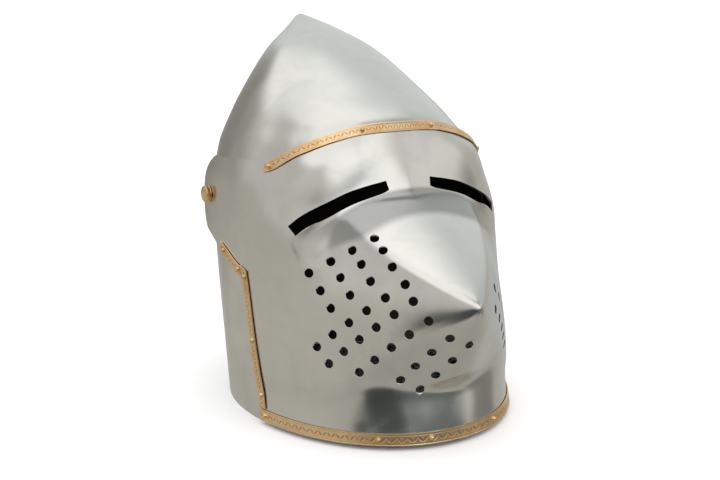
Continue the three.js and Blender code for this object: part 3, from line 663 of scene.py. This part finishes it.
def make_visor():
    shell, u, v = grid("visor_shell", *VISOR_GRID)
    s = 2 * u - 1
    azimuth = VISOR_TURN * DEG * (EVEN_SHARE * s + (1 - EVEN_SHARE) * s ** 3)
    write_points(shell, visor_points(azimuth, visor_height(v, azimuth)) * MM)
    line_with_painted_shade(shell)
    thicken(shell, SHEET, inner_slot=1)
    points = read_points(shell)
    rim = points[:, 2] < (VISOR_RIM_LIFT + RIM_SNAP) * MM
    points[rim, 2] = VISOR_RIM_LIFT * MM
    write_points(shell, points)
    cut(shell, prism_across("behind_visor_cutter", behind_visor()))
    cut(shell, eye_slot_cutter("left_slot_cutter", 1))
    cut(shell, eye_slot_cutter("right_slot_cutter", -1))
    cut(shell, breath_hole_cutter())
    cut(shell, cross_bore("pivot_bore_cutter", PIVOT_BORE_RADIUS))
    smooth(shell)
    return shell


# Brass trim

BROW_STRIP_WIDTH = 6.9
CHEEK_STRIP_WIDTH = 7.5
CHIN_STRIP_WIDTH = 8.4
TRIM_INSET = 0.3
STRIP_TOP = 1.15
STRIP_SHEET = 0.75
BROW_STRIP_END = 69
CHIN_STRIP_END = 66.3
LOWER_STRIP_LOW, LOWER_STRIP_HIGH = 11.4, 115
UPPER_STRIP_FROM, UPPER_STRIP_TO = -1.5, 36.9
LINE_STEPS = 56
LOWER_LINE_STEPS = 16
UPPER_LINE_STEPS = 10

# Where a strip starts and stops, as shares of its line, along one edge and along the other
LOWER_STRIP_ENDS = [(0.017, 1), (0, 0.956)]
UPPER_STRIP_ENDS = [(0, 0.927), (0.125, 1)]
SQUARE_ENDS = [(0, 1), (0, 1)]

# The chasing: sizes in millimetres, save the leaf's, which are shares of the period and the strip's width
STRIP_STEP = 0.3
LEAF_PERIOD = 3.0
CHIN_LEAF_PERIOD = 3.4
LEAF_DEPTH = 0.16
CHEEK_LEAF_DEPTH = 0.07
LEAF_SLANT = 38
LEAF_LENGTH = 0.2
LEAF_WIDTH = 0.27
DOT_OFFSET = 0.19
DOT_RADIUS = 0.22
DOT_SHARE = 0.8
BORDER_WIDTH = 0.75
BORDER_RISE = 0.10
GROOVE_INSET = 1.15
GROOVE_DEPTH = 0.12
GROOVE_HALF_WIDTH = 0.12

RIVET_RADIUS = 2.2
RIVET_TOP = 3.1
RIVET_DOME_SHARE = 0.86
FLANGE_HEIGHT = 0.5
FLANGE_MIDDLE = 0.1
FLANGE_BEVEL = 0.18
TRIM_ANGLE = 40
BROW_RIVETS = [-66.3, -24, 24, 66.3]
CHIN_RIVETS = [-63.4, -22.2, -7.5, 15.5, 63.4]
LOWER_CHEEK_RIVETS = [21.5, 61, 106.5]
UPPER_CHEEK_RIVETS = [5.5, 30]


def azimuth_at(back, z):
    """The azimuth where the visor's side passes a place behind the ear line, at a height."""
    low, high = (angle * DEG for angle in PLACE_RANGE)
    for _ in range(PLACE_HALVINGS):
        middle = (low + high) / 2
        if visor_points(middle, z)[1] < EAR_LINE + back:
            low = middle
        else:
            high = middle
    return (low + high) / 2


def brow_place(azimuth):
    return azimuth * DEG, float(VISOR_HEIGHT * brow_curve(abs(azimuth))) - BROW_STRIP_WIDTH / 2 - TRIM_INSET


def chin_place(azimuth):
    return azimuth * DEG, VISOR_RIM_LIFT + CHIN_STRIP_WIDTH / 2 + TRIM_INSET


def lower_cheek_place(z):
    return azimuth_at(cheek_edge_back(z) - CHEEK_STRIP_WIDTH / 2 - TRIM_INSET, z), z


def upper_cheek_place(back):
    rise = (ARM_KINK_HEIGHT - CHEEK_CORNER_HEIGHT) / (ARM_KINK_BACK + CHEEK_CORNER_AHEAD)
    raised = CHEEK_STRIP_WIDTH / 2 * math.hypot(1, rise) + TRIM_INSET
    z = CHEEK_CORNER_HEIGHT + rise * (back + CHEEK_CORNER_AHEAD) + raised
    return azimuth_at(back, z), z


def line_of(steps, place, start, end):
    return [place(start + (end - start) * k / steps) for k in range(steps + 1)]


def bump(distance, reach, soft):
    """1 inside a reach and 0 outside it, over a soft edge."""
    return 1 - fade(distance, reach - soft, reach + soft)


def chased_leaves(along, across, width, period, depth):
    """Height of a chased strip at places in millimetres, and how deep in the cuts each place is.

    It has raised plain borders, a groove inside each, a row of leaf-shaped cuts that lean one way and the
    other in turn, and a punched dot between every two."""
    edge = width / 2 - np.abs(across)
    off_groove = np.abs(edge - GROOVE_INSET)
    height = BORDER_RISE * bump(edge, BORDER_WIDTH, 0.25)
    height = height - GROOVE_DEPTH * bump(off_groove, GROOVE_HALF_WIDTH, 0.18)
    cell = np.floor(along / period)
    p = along - (cell + 0.5) * period
    lean = np.where(cell % 2 == 0, LEAF_SLANT, -LEAF_SLANT) * DEG
    x = p * np.cos(lean) + across * np.sin(lean)
    y = across * np.cos(lean) - p * np.sin(lean)
    leaf = np.hypot(x / (LEAF_LENGTH * period), y / (LEAF_WIDTH * width))
    dots = np.hypot(np.abs(p) - period / 2, np.abs(across) - DOT_OFFSET * width)
    cuts = np.maximum(bump(leaf, 0.85, 0.3), DOT_SHARE * bump(dots, DOT_RADIUS, 0.18))
    return height - depth * cuts, np.maximum(cuts, bump(off_groove, GROOVE_HALF_WIDTH, 0.2))


def line_length(line):
    points = visor_points(np.array([a for a, _ in line]), np.array([z for _, z in line]))
    return float(np.linalg.norm(np.diff(points, axis=0), axis=1).sum())


def make_strip(name, line, width, period=LEAF_PERIOD, depth=LEAF_DEPTH, ends=SQUARE_ENDS, side=1):
    """A strip chased along its length: a fine grid laid on the visor, then given the sheet's thickness."""
    length = line_length(line)
    strip, u, v = grid(name, max(int(length / STRIP_STEP), 2), int(width / STRIP_STEP))
    start = ends[0][0] + (ends[1][0] - ends[0][0]) * v
    end = ends[0][1] + (ends[1][1] - ends[0][1]) * v
    t = start + (end - start) * u
    height, recess = chased_leaves(t * length, (v - 0.5) * width, width, period, depth)
    points = place_on_visor(line, t, v, width, STRIP_TOP + height)
    points[:, 0] *= side
    write_points(strip, points * MM)
    worn = strip.data.attributes.new("recess", "FLOAT", "POINT")
    worn.data.foreach_set("value", recess.astype(np.float32))
    if side < 0:
        turn_inside_out(strip)
    thicken(strip, STRIP_SHEET, even=False)
    smooth(strip, TRIM_ANGLE)
    return strip


def make_rivet_head():
    """A low dome over a thin flange, standing on z = 0."""
    scale = (RIVET_DOME_SHARE, RIVET_DOME_SHARE, (RIVET_TOP - STRIP_TOP) / RIVET_RADIUS)
    head = dome_piece("rivet_head", RIVET_RADIUS, 24, 16, scale)
    bpy.ops.mesh.primitive_cylinder_add(vertices=24, radius=RIVET_RADIUS * MM, depth=FLANGE_HEIGHT * MM,
                                        location=(0, 0, FLANGE_MIDDLE * MM))
    flange = named("rivet_flange")
    bpy.ops.object.transform_apply(location=True, rotation=True, scale=True)
    apply_modifier(flange, "BEVEL", width=FLANGE_BEVEL * MM, segments=2, limit_method="ANGLE")
    join([flange], head)
    smooth(head, TRIM_ANGLE)
    return head


def set_rivet(head, name, azimuth, z, side=1):
    """A copy of the head, driven into the strip at a place on the visor."""
    copy = copy_of(head)
    copy.name = copy.data.name = name
    normal = Vector(visor_normals(side * azimuth, z))
    foot = Vector(visor_points(side * azimuth, z)) + normal * STRIP_TOP
    copy.data.transform(standing(foot, normal))
    return copy


PIVOT_SHAFT_RADIUS = 3.0
PIVOT_BURR_RADIUS = 5.0
PIVOT_BURR_THICKNESS = 1.5
PIVOT_HEAD_THICKNESS = 2.6
PIVOT_EDGE = 0.8
DOME_START = 0.6
DOME_INSET = 0.2
HEAD_BEVEL = 0.25
BURR_BEVEL = 0.5
SHAFT_SINK = 0.5


def make_pivot(name, side):
    """A round button with a domed face outside, its shaft, and the burr that holds it inside."""
    head_radius = (pivot_high.z - pivot_low.z) / 2
    head_seat = pivot_high.x - PIVOT_HEAD_THICKNESS
    burr_end = pivot_low.x + PIVOT_BURR_THICKNESS
    parts = []

    def disc(radius, start, end, bevel):
        deselect_all()
        bpy.ops.mesh.primitive_cylinder_add(vertices=48, radius=radius * MM, depth=(end - start) * MM,
                                            location=(0, 0, (start + end) / 2 * MM))
        bpy.ops.object.transform_apply(location=True, rotation=True, scale=True)
        part = named(name + "_part")
        if bevel:
            apply_modifier(part, "BEVEL", width=bevel * MM, segments=4, limit_method="ANGLE")
        parts.append(part)

    disc(head_radius, head_seat, head_seat + PIVOT_EDGE, HEAD_BEVEL)
    disc(PIVOT_SHAFT_RADIUS, burr_end - SHAFT_SINK, head_seat + SHAFT_SINK, 0)
    disc(PIVOT_BURR_RADIUS, pivot_low.x, burr_end, BURR_BEVEL)
    dome_radius = head_radius - DOME_INSET
    scale = (1, 1, (PIVOT_HEAD_THICKNESS - DOME_START) / dome_radius)
    dome = dome_piece(name, dome_radius, 48, 24, scale, head_seat + DOME_START)
    join(parts, dome)
    turn = Matrix.Rotation(side * math.pi / 2, 4, "Y")
    dome.data.transform(Matrix.Translation((0, (EAR_LINE + PIVOT_BACK) * MM, PIVOT_HEIGHT * MM)) @ turn)
    smooth(dome, TRIM_ANGLE)
    return dome


# Camera, light and floor

CAMERA_TARGET = Vector((0, 8, 119.5)) * MM
CAMERA_DISTANCE = 852.5 * MM
CAMERA_AZIMUTH = -30
CAMERA_ELEVATION = 13.06
CAMERA_LENS = 54.65

# Tints of the studio's surfaces, which their brightness is multiplied by
WARM = (1.05, 1.0, 0.89)
MILD = (1.03, 1.0, 0.935)
PLAIN = (1.01, 1.0, 0.97)
COOL = (0.95, 1.0, 0.975)
PALE = (0.98, 1.0, 0.96)
DARK = (0.88, 1.0, 0.95)

# What the polish mirrors, by height: sine of the elevation, brightness, tint
STUDIO_HEIGHTS = [
    (-1.0, 0.36, WARM), (-0.6, 0.41, WARM), (-0.3, 0.46, WARM), (0.0, 0.45, WARM), (0.17, 0.49, WARM),
    (0.34, 0.56, MILD), (0.5, 0.56, MILD), (0.64, 0.58, MILD), (0.77, 0.72, MILD),
    (0.87, 0.97, PLAIN), (0.94, 1.08, PLAIN), (1.0, 1.13, PLAIN),
]

# Soft panels round the studio: azimuth, elevation, full and outer half angle in degrees, brightness, tint
STUDIO_PANELS = [
    (-175, 8, 10, 30, 0.24, WARM),
    (-165, 50, 16, 24, 0.98, PLAIN),
    (-125, 42, 8, 20, 0.50, MILD),
    (-92, 50, 9, 20, 0.50, MILD),
    (-70, 38, 8, 20, 0.50, MILD),
    (15, -8, 22, 34, 0.15, DARK),
    (-27, -9, 15, 23, 0.05, DARK),
    (-51, -3, 5, 11, 0.06, DARK),
    (-32, 55, 14, 26, 1.05, PLAIN),
    (56, 20, 10, 24, 0.74, MILD),
    (5, 33, 16, 26, 1.10, PLAIN),
    (35, 56, 6, 14, 0.45, MILD),
    (60, 46, 7, 15, 0.40, COOL),
    (96, 38, 8, 20, 0.56, COOL),
    (140, 35, 25, 45, 0.72, COOL),
    (132, -16, 12, 28, 0.51, PALE),
    (70, -12, 12, 24, 0.22, WARM),
]
DIFFUSE_STRENGTH = 1.35


def tinted(brightness, tint):
    return tuple(brightness * share for share in tint)


def direction_of(azimuth, elevation):
    azimuth, elevation = azimuth * DEG, elevation * DEG
    flat = math.cos(elevation)
    return Vector((math.sin(azimuth) * flat, -math.cos(azimuth) * flat, math.sin(elevation)))


def make_camera():
    back = direction_of(CAMERA_AZIMUTH, CAMERA_ELEVATION)
    bpy.ops.object.camera_add(location=CAMERA_TARGET + back * CAMERA_DISTANCE)
    camera = bpy.context.object
    camera.rotation_euler = (-back).to_track_quat("-Z", "Y").to_euler()
    camera.data.lens = CAMERA_LENS
    camera.data.sensor_width = 36
    camera.data.clip_start = 0.01
    bpy.context.scene.camera = camera


class Nodes:
    """Adds nodes to a tree and links them, left to right."""

    def __init__(self, tree):
        self.tree = tree
        self.count = 0

    def add(self, kind, inputs=None, **settings):
        node = self.tree.nodes.new(kind)
        self.count += 1
        node.location = (180 * self.count, 0)
        for key, value in settings.items():
            setattr(node, key, value)
        for key, value in (inputs or {}).items():
            if isinstance(value, bpy.types.NodeSocket):
                self.tree.links.new(value, node.inputs[key])
            else:
                node.inputs[key].default_value = value
        return node

    def ramp(self, factor, stops):
        node = self.add("ShaderNodeValToRGB", {"Fac": factor})
        elements = node.color_ramp.elements
        for element, (position, colour) in zip(list(elements), (stops[0], stops[-1])):
            element.position, element.color = position, (*colour, 1)
        for position, colour in stops[1:-1]:
            elements.new(position).color = (*colour, 1)
        return node.outputs["Color"]

    def mix(self, factor, first, second):
        node = self.add("ShaderNodeMix", data_type="RGBA", blend_type="MIX")
        for socket, value in ((node.inputs[0], factor), (node.inputs[6], first), (node.inputs[7], second)):
            if isinstance(value, bpy.types.NodeSocket):
                self.tree.links.new(value, socket)
            else:
                socket.default_value = value
        return node.outputs[2]

    def smoothstep(self, value, low, high):
        node = self.add("ShaderNodeMapRange", {"Value": value, "From Min": low, "From Max": high},
                        interpolation_type="SMOOTHSTEP")
        return node.outputs["Result"]

    def spread(self, value, end, low, high):
        """A Map Range node with its From or its To end set."""
        node = self.add("ShaderNodeMapRange", {"Value": value, end + " Min": low, end + " Max": high})
        return node.outputs["Result"]

    def noise(self, vector, scale, detail, roughness, distortion=0.0):
        node = self.add("ShaderNodeTexNoise", {"Vector": vector, "Scale": scale, "Detail": detail,
                                               "Roughness": roughness, "Distortion": distortion})
        return node.outputs["Fac"]

    def effect(self, name, place, **inputs):
        """One of the metals' shared node groups, laid by the object's coordinates."""
        node = self.add("ShaderNodeGroup", {"Vector": place, **inputs}, node_tree=effects[name])
        return node.outputs[0]

    def math(self, operation, *values):
        node = self.add("ShaderNodeMath", dict(enumerate(values)), operation=operation)
        return node.outputs[0]


def new_group(name, vectors, floats, output):
    """A node group with named sockets; returns it with its Nodes and its inputs' sockets."""
    tree = bpy.data.node_groups.new(name, "ShaderNodeTree")
    for label in vectors:
        tree.interface.new_socket(label, in_out="INPUT", socket_type="NodeSocketVector")
    for label, value in floats.items():
        socket = tree.interface.new_socket(label, in_out="INPUT", socket_type="NodeSocketFloat")
        socket.default_value = value
    tree.interface.new_socket(output, in_out="OUTPUT", socket_type="NodeSocketFloat")
    nodes = Nodes(tree)
    return tree, nodes, nodes.add("NodeGroupInput").outputs


def soft_panel_group():
    tree, nodes, given = new_group("soft_panel", ["Direction", "Toward"], {"Outer": 0.0, "Full": 1.0}, "Mask")
    facing = nodes.add("ShaderNodeVectorMath", {0: given["Direction"], 1: given["Toward"]},
                       operation="DOT_PRODUCT")
    mask = nodes.smoothstep(facing.outputs["Value"], given["Outer"], given["Full"])
    nodes.add("NodeGroupOutput", {"Mask": mask})
    return tree


def make_light():
    """An even pale studio. Mirrored rays meet the room with its soft panels, all others plain white."""
    scene = bpy.context.scene
    scene.view_settings.view_transform = "Standard"
    world = bpy.data.worlds.new("studio")
    scene.world = world
    world.use_nodes = True
    world.node_tree.nodes.clear()
    nodes = Nodes(world.node_tree)
    direction = nodes.add("ShaderNodeTexCoord").outputs["Generated"]
    height = nodes.add("ShaderNodeSeparateXYZ", {0: direction}).outputs["Z"]
    share = nodes.spread(height, "From", -1, 1)
    room = nodes.ramp(share, [((z + 1) / 2, tinted(level, tint)) for z, level, tint in STUDIO_HEIGHTS])
    panel = soft_panel_group()
    for azimuth, elevation, full, outer, level, tint in STUDIO_PANELS:
        mask = nodes.add("ShaderNodeGroup", {
            "Direction": direction, "Toward": direction_of(azimuth, elevation),
            "Outer": math.cos(outer * DEG), "Full": math.cos(full * DEG)}, node_tree=panel)
        room = nodes.mix(mask.outputs["Mask"], room, (*tinted(level, tint), 1))
    path = nodes.add("ShaderNodeLightPath").outputs
    mirrored = nodes.add("ShaderNodeBackground", {"Color": room, "Strength": 1.0})
    white = nodes.add("ShaderNodeBackground", {"Color": (1, 1, 1, 1), "Strength": DIFFUSE_STRENGTH})
    lit = nodes.add("ShaderNodeMixShader", {0: path["Is Glossy Ray"], 1: white.outputs[0],
                                            2: mirrored.outputs[0]})
    nodes.add("ShaderNodeOutputWorld", {"Surface": lit.outputs[0]})


def make_floor():
    deselect_all()
    bpy.ops.mesh.primitive_plane_add(size=60, location=(0, 0, 0))
    floor = named("floor")
    floor.visible_glossy = False
    material = bpy.data.materials.new("pale_floor")
    material.use_nodes = True
    shader = material.node_tree.nodes["Principled BSDF"]
    shader.inputs["Base Color"].default_value = (0.97, 0.97, 0.97, 1)
    shader.inputs["Roughness"].default_value = 0.9
    shader.inputs["Specular IOR Level"].default_value = 0.0
    floor.data.materials.append(material)


# Materials

STEEL_LIGHT = (0.80, 0.80, 0.775, 1)
STEEL_CLOUD = (0.72, 0.725, 0.70, 1)
STEEL_WARM = (0.80, 0.765, 0.755, 1)
STEEL_SPECK = (0.66, 0.67, 0.655, 1)
STEEL_SCRATCH = (0.86, 0.86, 0.84, 1)
# Painted shade for the hollow under the eye slots
STEEL_PAINTED_SHADE = (0.33, 0.34, 0.335, 1)
STEEL_PIT = (0.16, 0.14, 0.11, 1)
# Painted shade for the plates' insides: near black, with a cloudy tone
INSIDE_SHADE_DEEP = (0.05, 0.048, 0.045, 1)
INSIDE_SHADE_PALE = (0.10, 0.095, 0.088, 1)
FINE_DENTS = 3.3
SCRATCH_EDGE = 0.1
PIT_SHARE = (0.84, 0.9)
# The soft edges of the painted shade under the eye slots, in metres: at its foot and brow, at its sides, and
# behind
PAINTED_SHADE_FOOT = 0.005
PAINTED_SHADE_BROW = 0.003
PAINTED_SHADE_SIDES = (0.085, 0.055)
PAINTED_SHADE_BACK = (-0.02, -0.04)

# Brass of the chased strips and of the turned rivets and pivots: bright colour, deep colour, patina, how
# brown the cuts are, and the least roughness
STRIP_BRASS = ((1.0, 0.745, 0.47, 1), (0.93, 0.62, 0.33, 1), (0.36, 0.19, 0.07, 1), 0.7, 0.26)
RIVET_BRASS = ((0.98, 0.74, 0.42, 1), (0.84, 0.58, 0.28, 1), (0.30, 0.17, 0.06, 1), 0, 0.18)


def metal_group_nodes():
    """The effects that the metals share, each a node group with its own scale and amount."""
    groups = {}
    tree, nodes, given = new_group("soft_hammering", ["Vector"], {"Scale": 20.0, "Fine": 0.2}, "Height")
    broad = nodes.noise(given["Vector"], given["Scale"], 1.0, 0.35)
    close = nodes.math("MULTIPLY", given["Scale"], FINE_DENTS)
    dents = nodes.add("ShaderNodeTexVoronoi", {"Vector": given["Vector"], "Scale": close, "Smoothness": 1.0},
                      feature="SMOOTH_F1")
    fine = nodes.math("MULTIPLY", dents.outputs["Distance"], given["Fine"])
    nodes.add("NodeGroupOutput", {"Height": nodes.math("ADD", broad, fine)})
    groups["soft_hammering"] = tree

    tree, nodes, given = new_group(
        "polish_clouds", ["Vector"], {"Scale": 12.0, "Low": 0.4, "High": 0.65}, "Mask")
    cloud = nodes.noise(given["Vector"], given["Scale"], 4.0, 0.55, 0.6)
    mask = nodes.smoothstep(cloud, given["Low"], given["High"])
    nodes.add("NodeGroupOutput", {"Mask": mask})
    groups["polish_clouds"] = tree

    tree, nodes, given = new_group(
        "fine_scratches", ["Vector"], {"Scale": 60.0, "Length": 0.06, "Low": 0.6}, "Mask")
    stretch = nodes.add("ShaderNodeCombineXYZ", {0: 1.0, 1: 1.0, 2: given["Length"]}).outputs[0]
    drawn = nodes.add("ShaderNodeVectorMath", {0: given["Vector"], 1: stretch}, operation="MULTIPLY")
    lines = nodes.noise(drawn.outputs[0], given["Scale"], 3.0, 0.7)
    mask = nodes.smoothstep(lines, given["Low"], nodes.math("ADD", given["Low"], SCRATCH_EDGE))
    nodes.add("NodeGroupOutput", {"Mask": mask})
    groups["fine_scratches"] = tree

    tree, nodes, given = new_group("small_pits", ["Vector"], {"Scale": 60.0, "Size": 0.05}, "Mask")
    cells = nodes.add("ShaderNodeTexVoronoi", {"Vector": given["Vector"], "Scale": given["Scale"]})
    chosen = nodes.smoothstep(cells.outputs["Color"], *PIT_SHARE)
    edge = nodes.math("MULTIPLY", given["Size"], 0.5)
    near = nodes.smoothstep(cells.outputs["Distance"], given["Size"], edge)
    nodes.add("NodeGroupOutput", {"Mask": nodes.math("MULTIPLY", near, chosen)})
    groups["small_pits"] = tree

    # Painted shade: a darker band across the face in the hollow under the eye slots, that keeps level in the
    # middle and sinks to the sides, in metres
    tree, nodes, given = new_group(
        "painted_hollow_shade", ["Vector"], {"Low": 0.154, "High": 0.171, "Arch": 5.0}, "Mask")
    parts = nodes.add("ShaderNodeSeparateXYZ", {0: given["Vector"]}).outputs
    across = nodes.math("ABSOLUTE", parts["X"])
    arch = nodes.math("MULTIPLY", nodes.math("MULTIPLY", across, across), given["Arch"])
    height = nodes.math("ADD", parts["Z"], arch)
    above = nodes.smoothstep(height, given["Low"], nodes.math("ADD", given["Low"], PAINTED_SHADE_FOOT))
    below = nodes.smoothstep(height, nodes.math("ADD", given["High"], PAINTED_SHADE_BROW), given["High"])
    inside = nodes.smoothstep(across, *PAINTED_SHADE_SIDES)
    ahead = nodes.smoothstep(parts["Y"], *PAINTED_SHADE_BACK)
    mask = nodes.math("MULTIPLY", nodes.math("MULTIPLY", above, below), nodes.math("MULTIPLY", inside, ahead))
    nodes.add("NodeGroupOutput", {"Mask": mask})
    groups["painted_hollow_shade"] = tree
    return groups


def new_metal(name):
    material = bpy.data.materials.new(name)
    material.use_nodes = True
    nodes = Nodes(material.node_tree)
    shader = material.node_tree.nodes["Principled BSDF"]
    shader.inputs["Metallic"].default_value = 1
    place = nodes.add("ShaderNodeTexCoord").outputs["Object"]
    return material, nodes, shader, place


def steel_material():
    material, nodes, shader, place = new_metal("polished_steel")
    link = material.node_tree.links.new
    broad = nodes.effect("polish_clouds", place, Scale=9.0, Low=0.38, High=0.66)
    small = nodes.effect("polish_clouds", place, Scale=38.0, Low=0.35, High=0.75)
    tint = nodes.effect("polish_clouds", place, Scale=15.0, Low=0.5, High=0.7)
    scratches = nodes.effect("fine_scratches", place, Scale=420.0, Length=0.05, Low=0.66)
    pits = nodes.effect("small_pits", place, Scale=42.0, Size=0.045)
    # A darker band of painted shade in the hollow under the eye slots
    painted_shade_band = nodes.effect("painted_hollow_shade", place, Low=0.154, High=0.171)
    colour = nodes.mix(broad, STEEL_LIGHT, STEEL_CLOUD)
    for mask, share, laid in (
            (tint, 0.35, STEEL_WARM), (small, 0.45, STEEL_SPECK), (scratches, 0.15, STEEL_SCRATCH),
            (painted_shade_band, 0.8, STEEL_PAINTED_SHADE), (pits, 0.8, STEEL_PIT)):
        colour = nodes.mix(nodes.math("MULTIPLY", mask, share), colour, laid)
    link(colour, shader.inputs["Base Color"])
    rough = nodes.spread(small, "To", 0.17, 0.25)
    rough = nodes.math("ADD", rough, nodes.math("MULTIPLY", scratches, 0.12))
    rough = nodes.math("ADD", rough, nodes.math("MULTIPLY", pits, 0.3))
    link(rough, shader.inputs["Roughness"])
    height = nodes.effect("soft_hammering", place, Scale=16.0, Fine=0.12)
    height = nodes.math("SUBTRACT", height, nodes.math("MULTIPLY", scratches, 0.002))
    height = nodes.math("SUBTRACT", height, nodes.math("MULTIPLY", pits, 0.06))
    bumped = nodes.add("ShaderNodeBump", {"Height": height, "Strength": 1.0, "Distance": 0.0008})
    link(bumped.outputs["Normal"], shader.inputs["Normal"])
    return material


def inside_painted_shade_material():
    """The plates' insides, near black: painted shade of the helmet's dark interior."""
    material, nodes, shader, place = new_metal("inside_painted_shade")
    link = material.node_tree.links.new
    clouds = nodes.effect("polish_clouds", place, Scale=26.0, Low=0.35, High=0.7)
    link(nodes.mix(clouds, INSIDE_SHADE_DEEP, INSIDE_SHADE_PALE), shader.inputs["Base Color"])
    link(nodes.spread(clouds, "To", 0.45, 0.6), shader.inputs["Roughness"])
    return material


def brass_material(name, bright, deep, patina, recess_share, rough):
    """Chased brass: bright on top, deeper in colour in clouds, and brown in the cuts."""
    material, nodes, shader, place = new_metal(name)
    link = material.node_tree.links.new
    clouds = nodes.effect("polish_clouds", place, Scale=55.0, Low=0.36, High=0.68)
    grain = nodes.effect("polish_clouds", place, Scale=700.0, Low=0.4, High=0.7)
    colour = nodes.mix(clouds, bright, deep)
    colour = nodes.mix(nodes.math("MULTIPLY", grain, 0.25), colour, deep)
    stain = nodes.math("MULTIPLY", grain, nodes.math("MULTIPLY", clouds, 0.35))
    if recess_share:
        recess = nodes.add("ShaderNodeAttribute", attribute_name="recess").outputs["Fac"]
        stain = nodes.math("MAXIMUM", stain, nodes.math("MULTIPLY", recess, recess_share))
    link(nodes.mix(stain, colour, patina), shader.inputs["Base Color"])
    roughness = nodes.spread(clouds, "To", rough, rough + 0.12)
    roughness = nodes.math("ADD", roughness, nodes.math("MULTIPLY", stain, 0.15))
    link(roughness, shader.inputs["Roughness"])
    height = nodes.effect("soft_hammering", place, Scale=150.0, Fine=0.3)
    bumped = nodes.add("ShaderNodeBump", {"Height": height, "Strength": 1.0, "Distance": 0.00012})
    link(bumped.outputs["Normal"], shader.inputs["Normal"])
    return material


def finish_piece(piece, body, slot, material, *nodes):
    if material:
        piece.data.materials.clear()
        piece.data.materials.append(material)
    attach(piece, body)
    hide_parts(*nodes)


effects = metal_group_nodes()
steel = steel_material()
inside_painted_shade = inside_painted_shade_material()
strip_brass = brass_material("chased_brass", *STRIP_BRASS)
rivet_brass = brass_material("turned_brass", *RIVET_BRASS)

make_camera()
make_light()
make_floor()
finish_piece(make_skull(), "helmet", "steel", None, "skull")
finish_piece(make_visor(), "visor", "steel", None, "visor")

brow_line = line_of(LINE_STEPS, brow_place, -BROW_STRIP_END, BROW_STRIP_END)
chin_line = line_of(LINE_STEPS, chin_place, -CHIN_STRIP_END, CHIN_STRIP_END)
lower_line = line_of(LOWER_LINE_STEPS, lower_cheek_place, LOWER_STRIP_LOW, LOWER_STRIP_HIGH)
upper_line = line_of(UPPER_LINE_STEPS, upper_cheek_place, UPPER_STRIP_FROM, UPPER_STRIP_TO)
brow_strip = make_strip("chased_brow_strip", brow_line, BROW_STRIP_WIDTH)
finish_piece(brow_strip, "visor", "brass", strip_brass, "brow_strip")
chin_strip = make_strip("chased_chin_strip", chin_line, CHIN_STRIP_WIDTH, period=CHIN_LEAF_PERIOD)
finish_piece(chin_strip, "visor", "brass", strip_brass, "chin_strip")
rivet_head = make_rivet_head()
for hand, side in (("left", 1), ("right", -1)):
    lower = make_strip("lower_cheek_strip_" + hand, lower_line, CHEEK_STRIP_WIDTH,
                       depth=CHEEK_LEAF_DEPTH, ends=LOWER_STRIP_ENDS, side=side)
    finish_piece(lower, "visor", "brass", strip_brass, "cheek_strip_lower_" + hand)
    upper = make_strip("upper_cheek_strip_" + hand, upper_line, CHEEK_STRIP_WIDTH,
                       depth=CHEEK_LEAF_DEPTH, ends=UPPER_STRIP_ENDS, side=side)
    finish_piece(upper, "visor", "brass", strip_brass, "cheek_strip_upper_" + hand)
    for k, z in enumerate(LOWER_CHEEK_RIVETS, 1):
        rivet = set_rivet(rivet_head, f"lower_cheek_rivet_head_{hand}_{k}", *lower_cheek_place(z), side)
        finish_piece(rivet, "visor", "brass", rivet_brass, f"cheek_rivet_lower_{hand}_{k}")
    for k, back in enumerate(UPPER_CHEEK_RIVETS, 1):
        rivet = set_rivet(rivet_head, f"upper_cheek_rivet_head_{hand}_{k}", *upper_cheek_place(back), side)
        finish_piece(rivet, "visor", "brass", rivet_brass, f"cheek_rivet_upper_{hand}_{k}")
    pivot = make_pivot("pivot_button_" + hand, side)
    finish_piece(pivot, "helmet", "brass", rivet_brass, "pivot_" + hand)
for k, azimuth in enumerate(BROW_RIVETS, 1):
    rivet = set_rivet(rivet_head, f"brow_rivet_head_{k}", *brow_place(azimuth))
    finish_piece(rivet, "visor", "brass", rivet_brass, f"brow_rivet_{k}")
for k, azimuth in enumerate(CHIN_RIVETS, 1):
    rivet = set_rivet(rivet_head, f"chin_rivet_head_{k}", *chin_place(azimuth))
    finish_piece(rivet, "visor", "brass", rivet_brass, f"chin_rivet_{k}")
bpy.data.objects.remove(rivet_head)
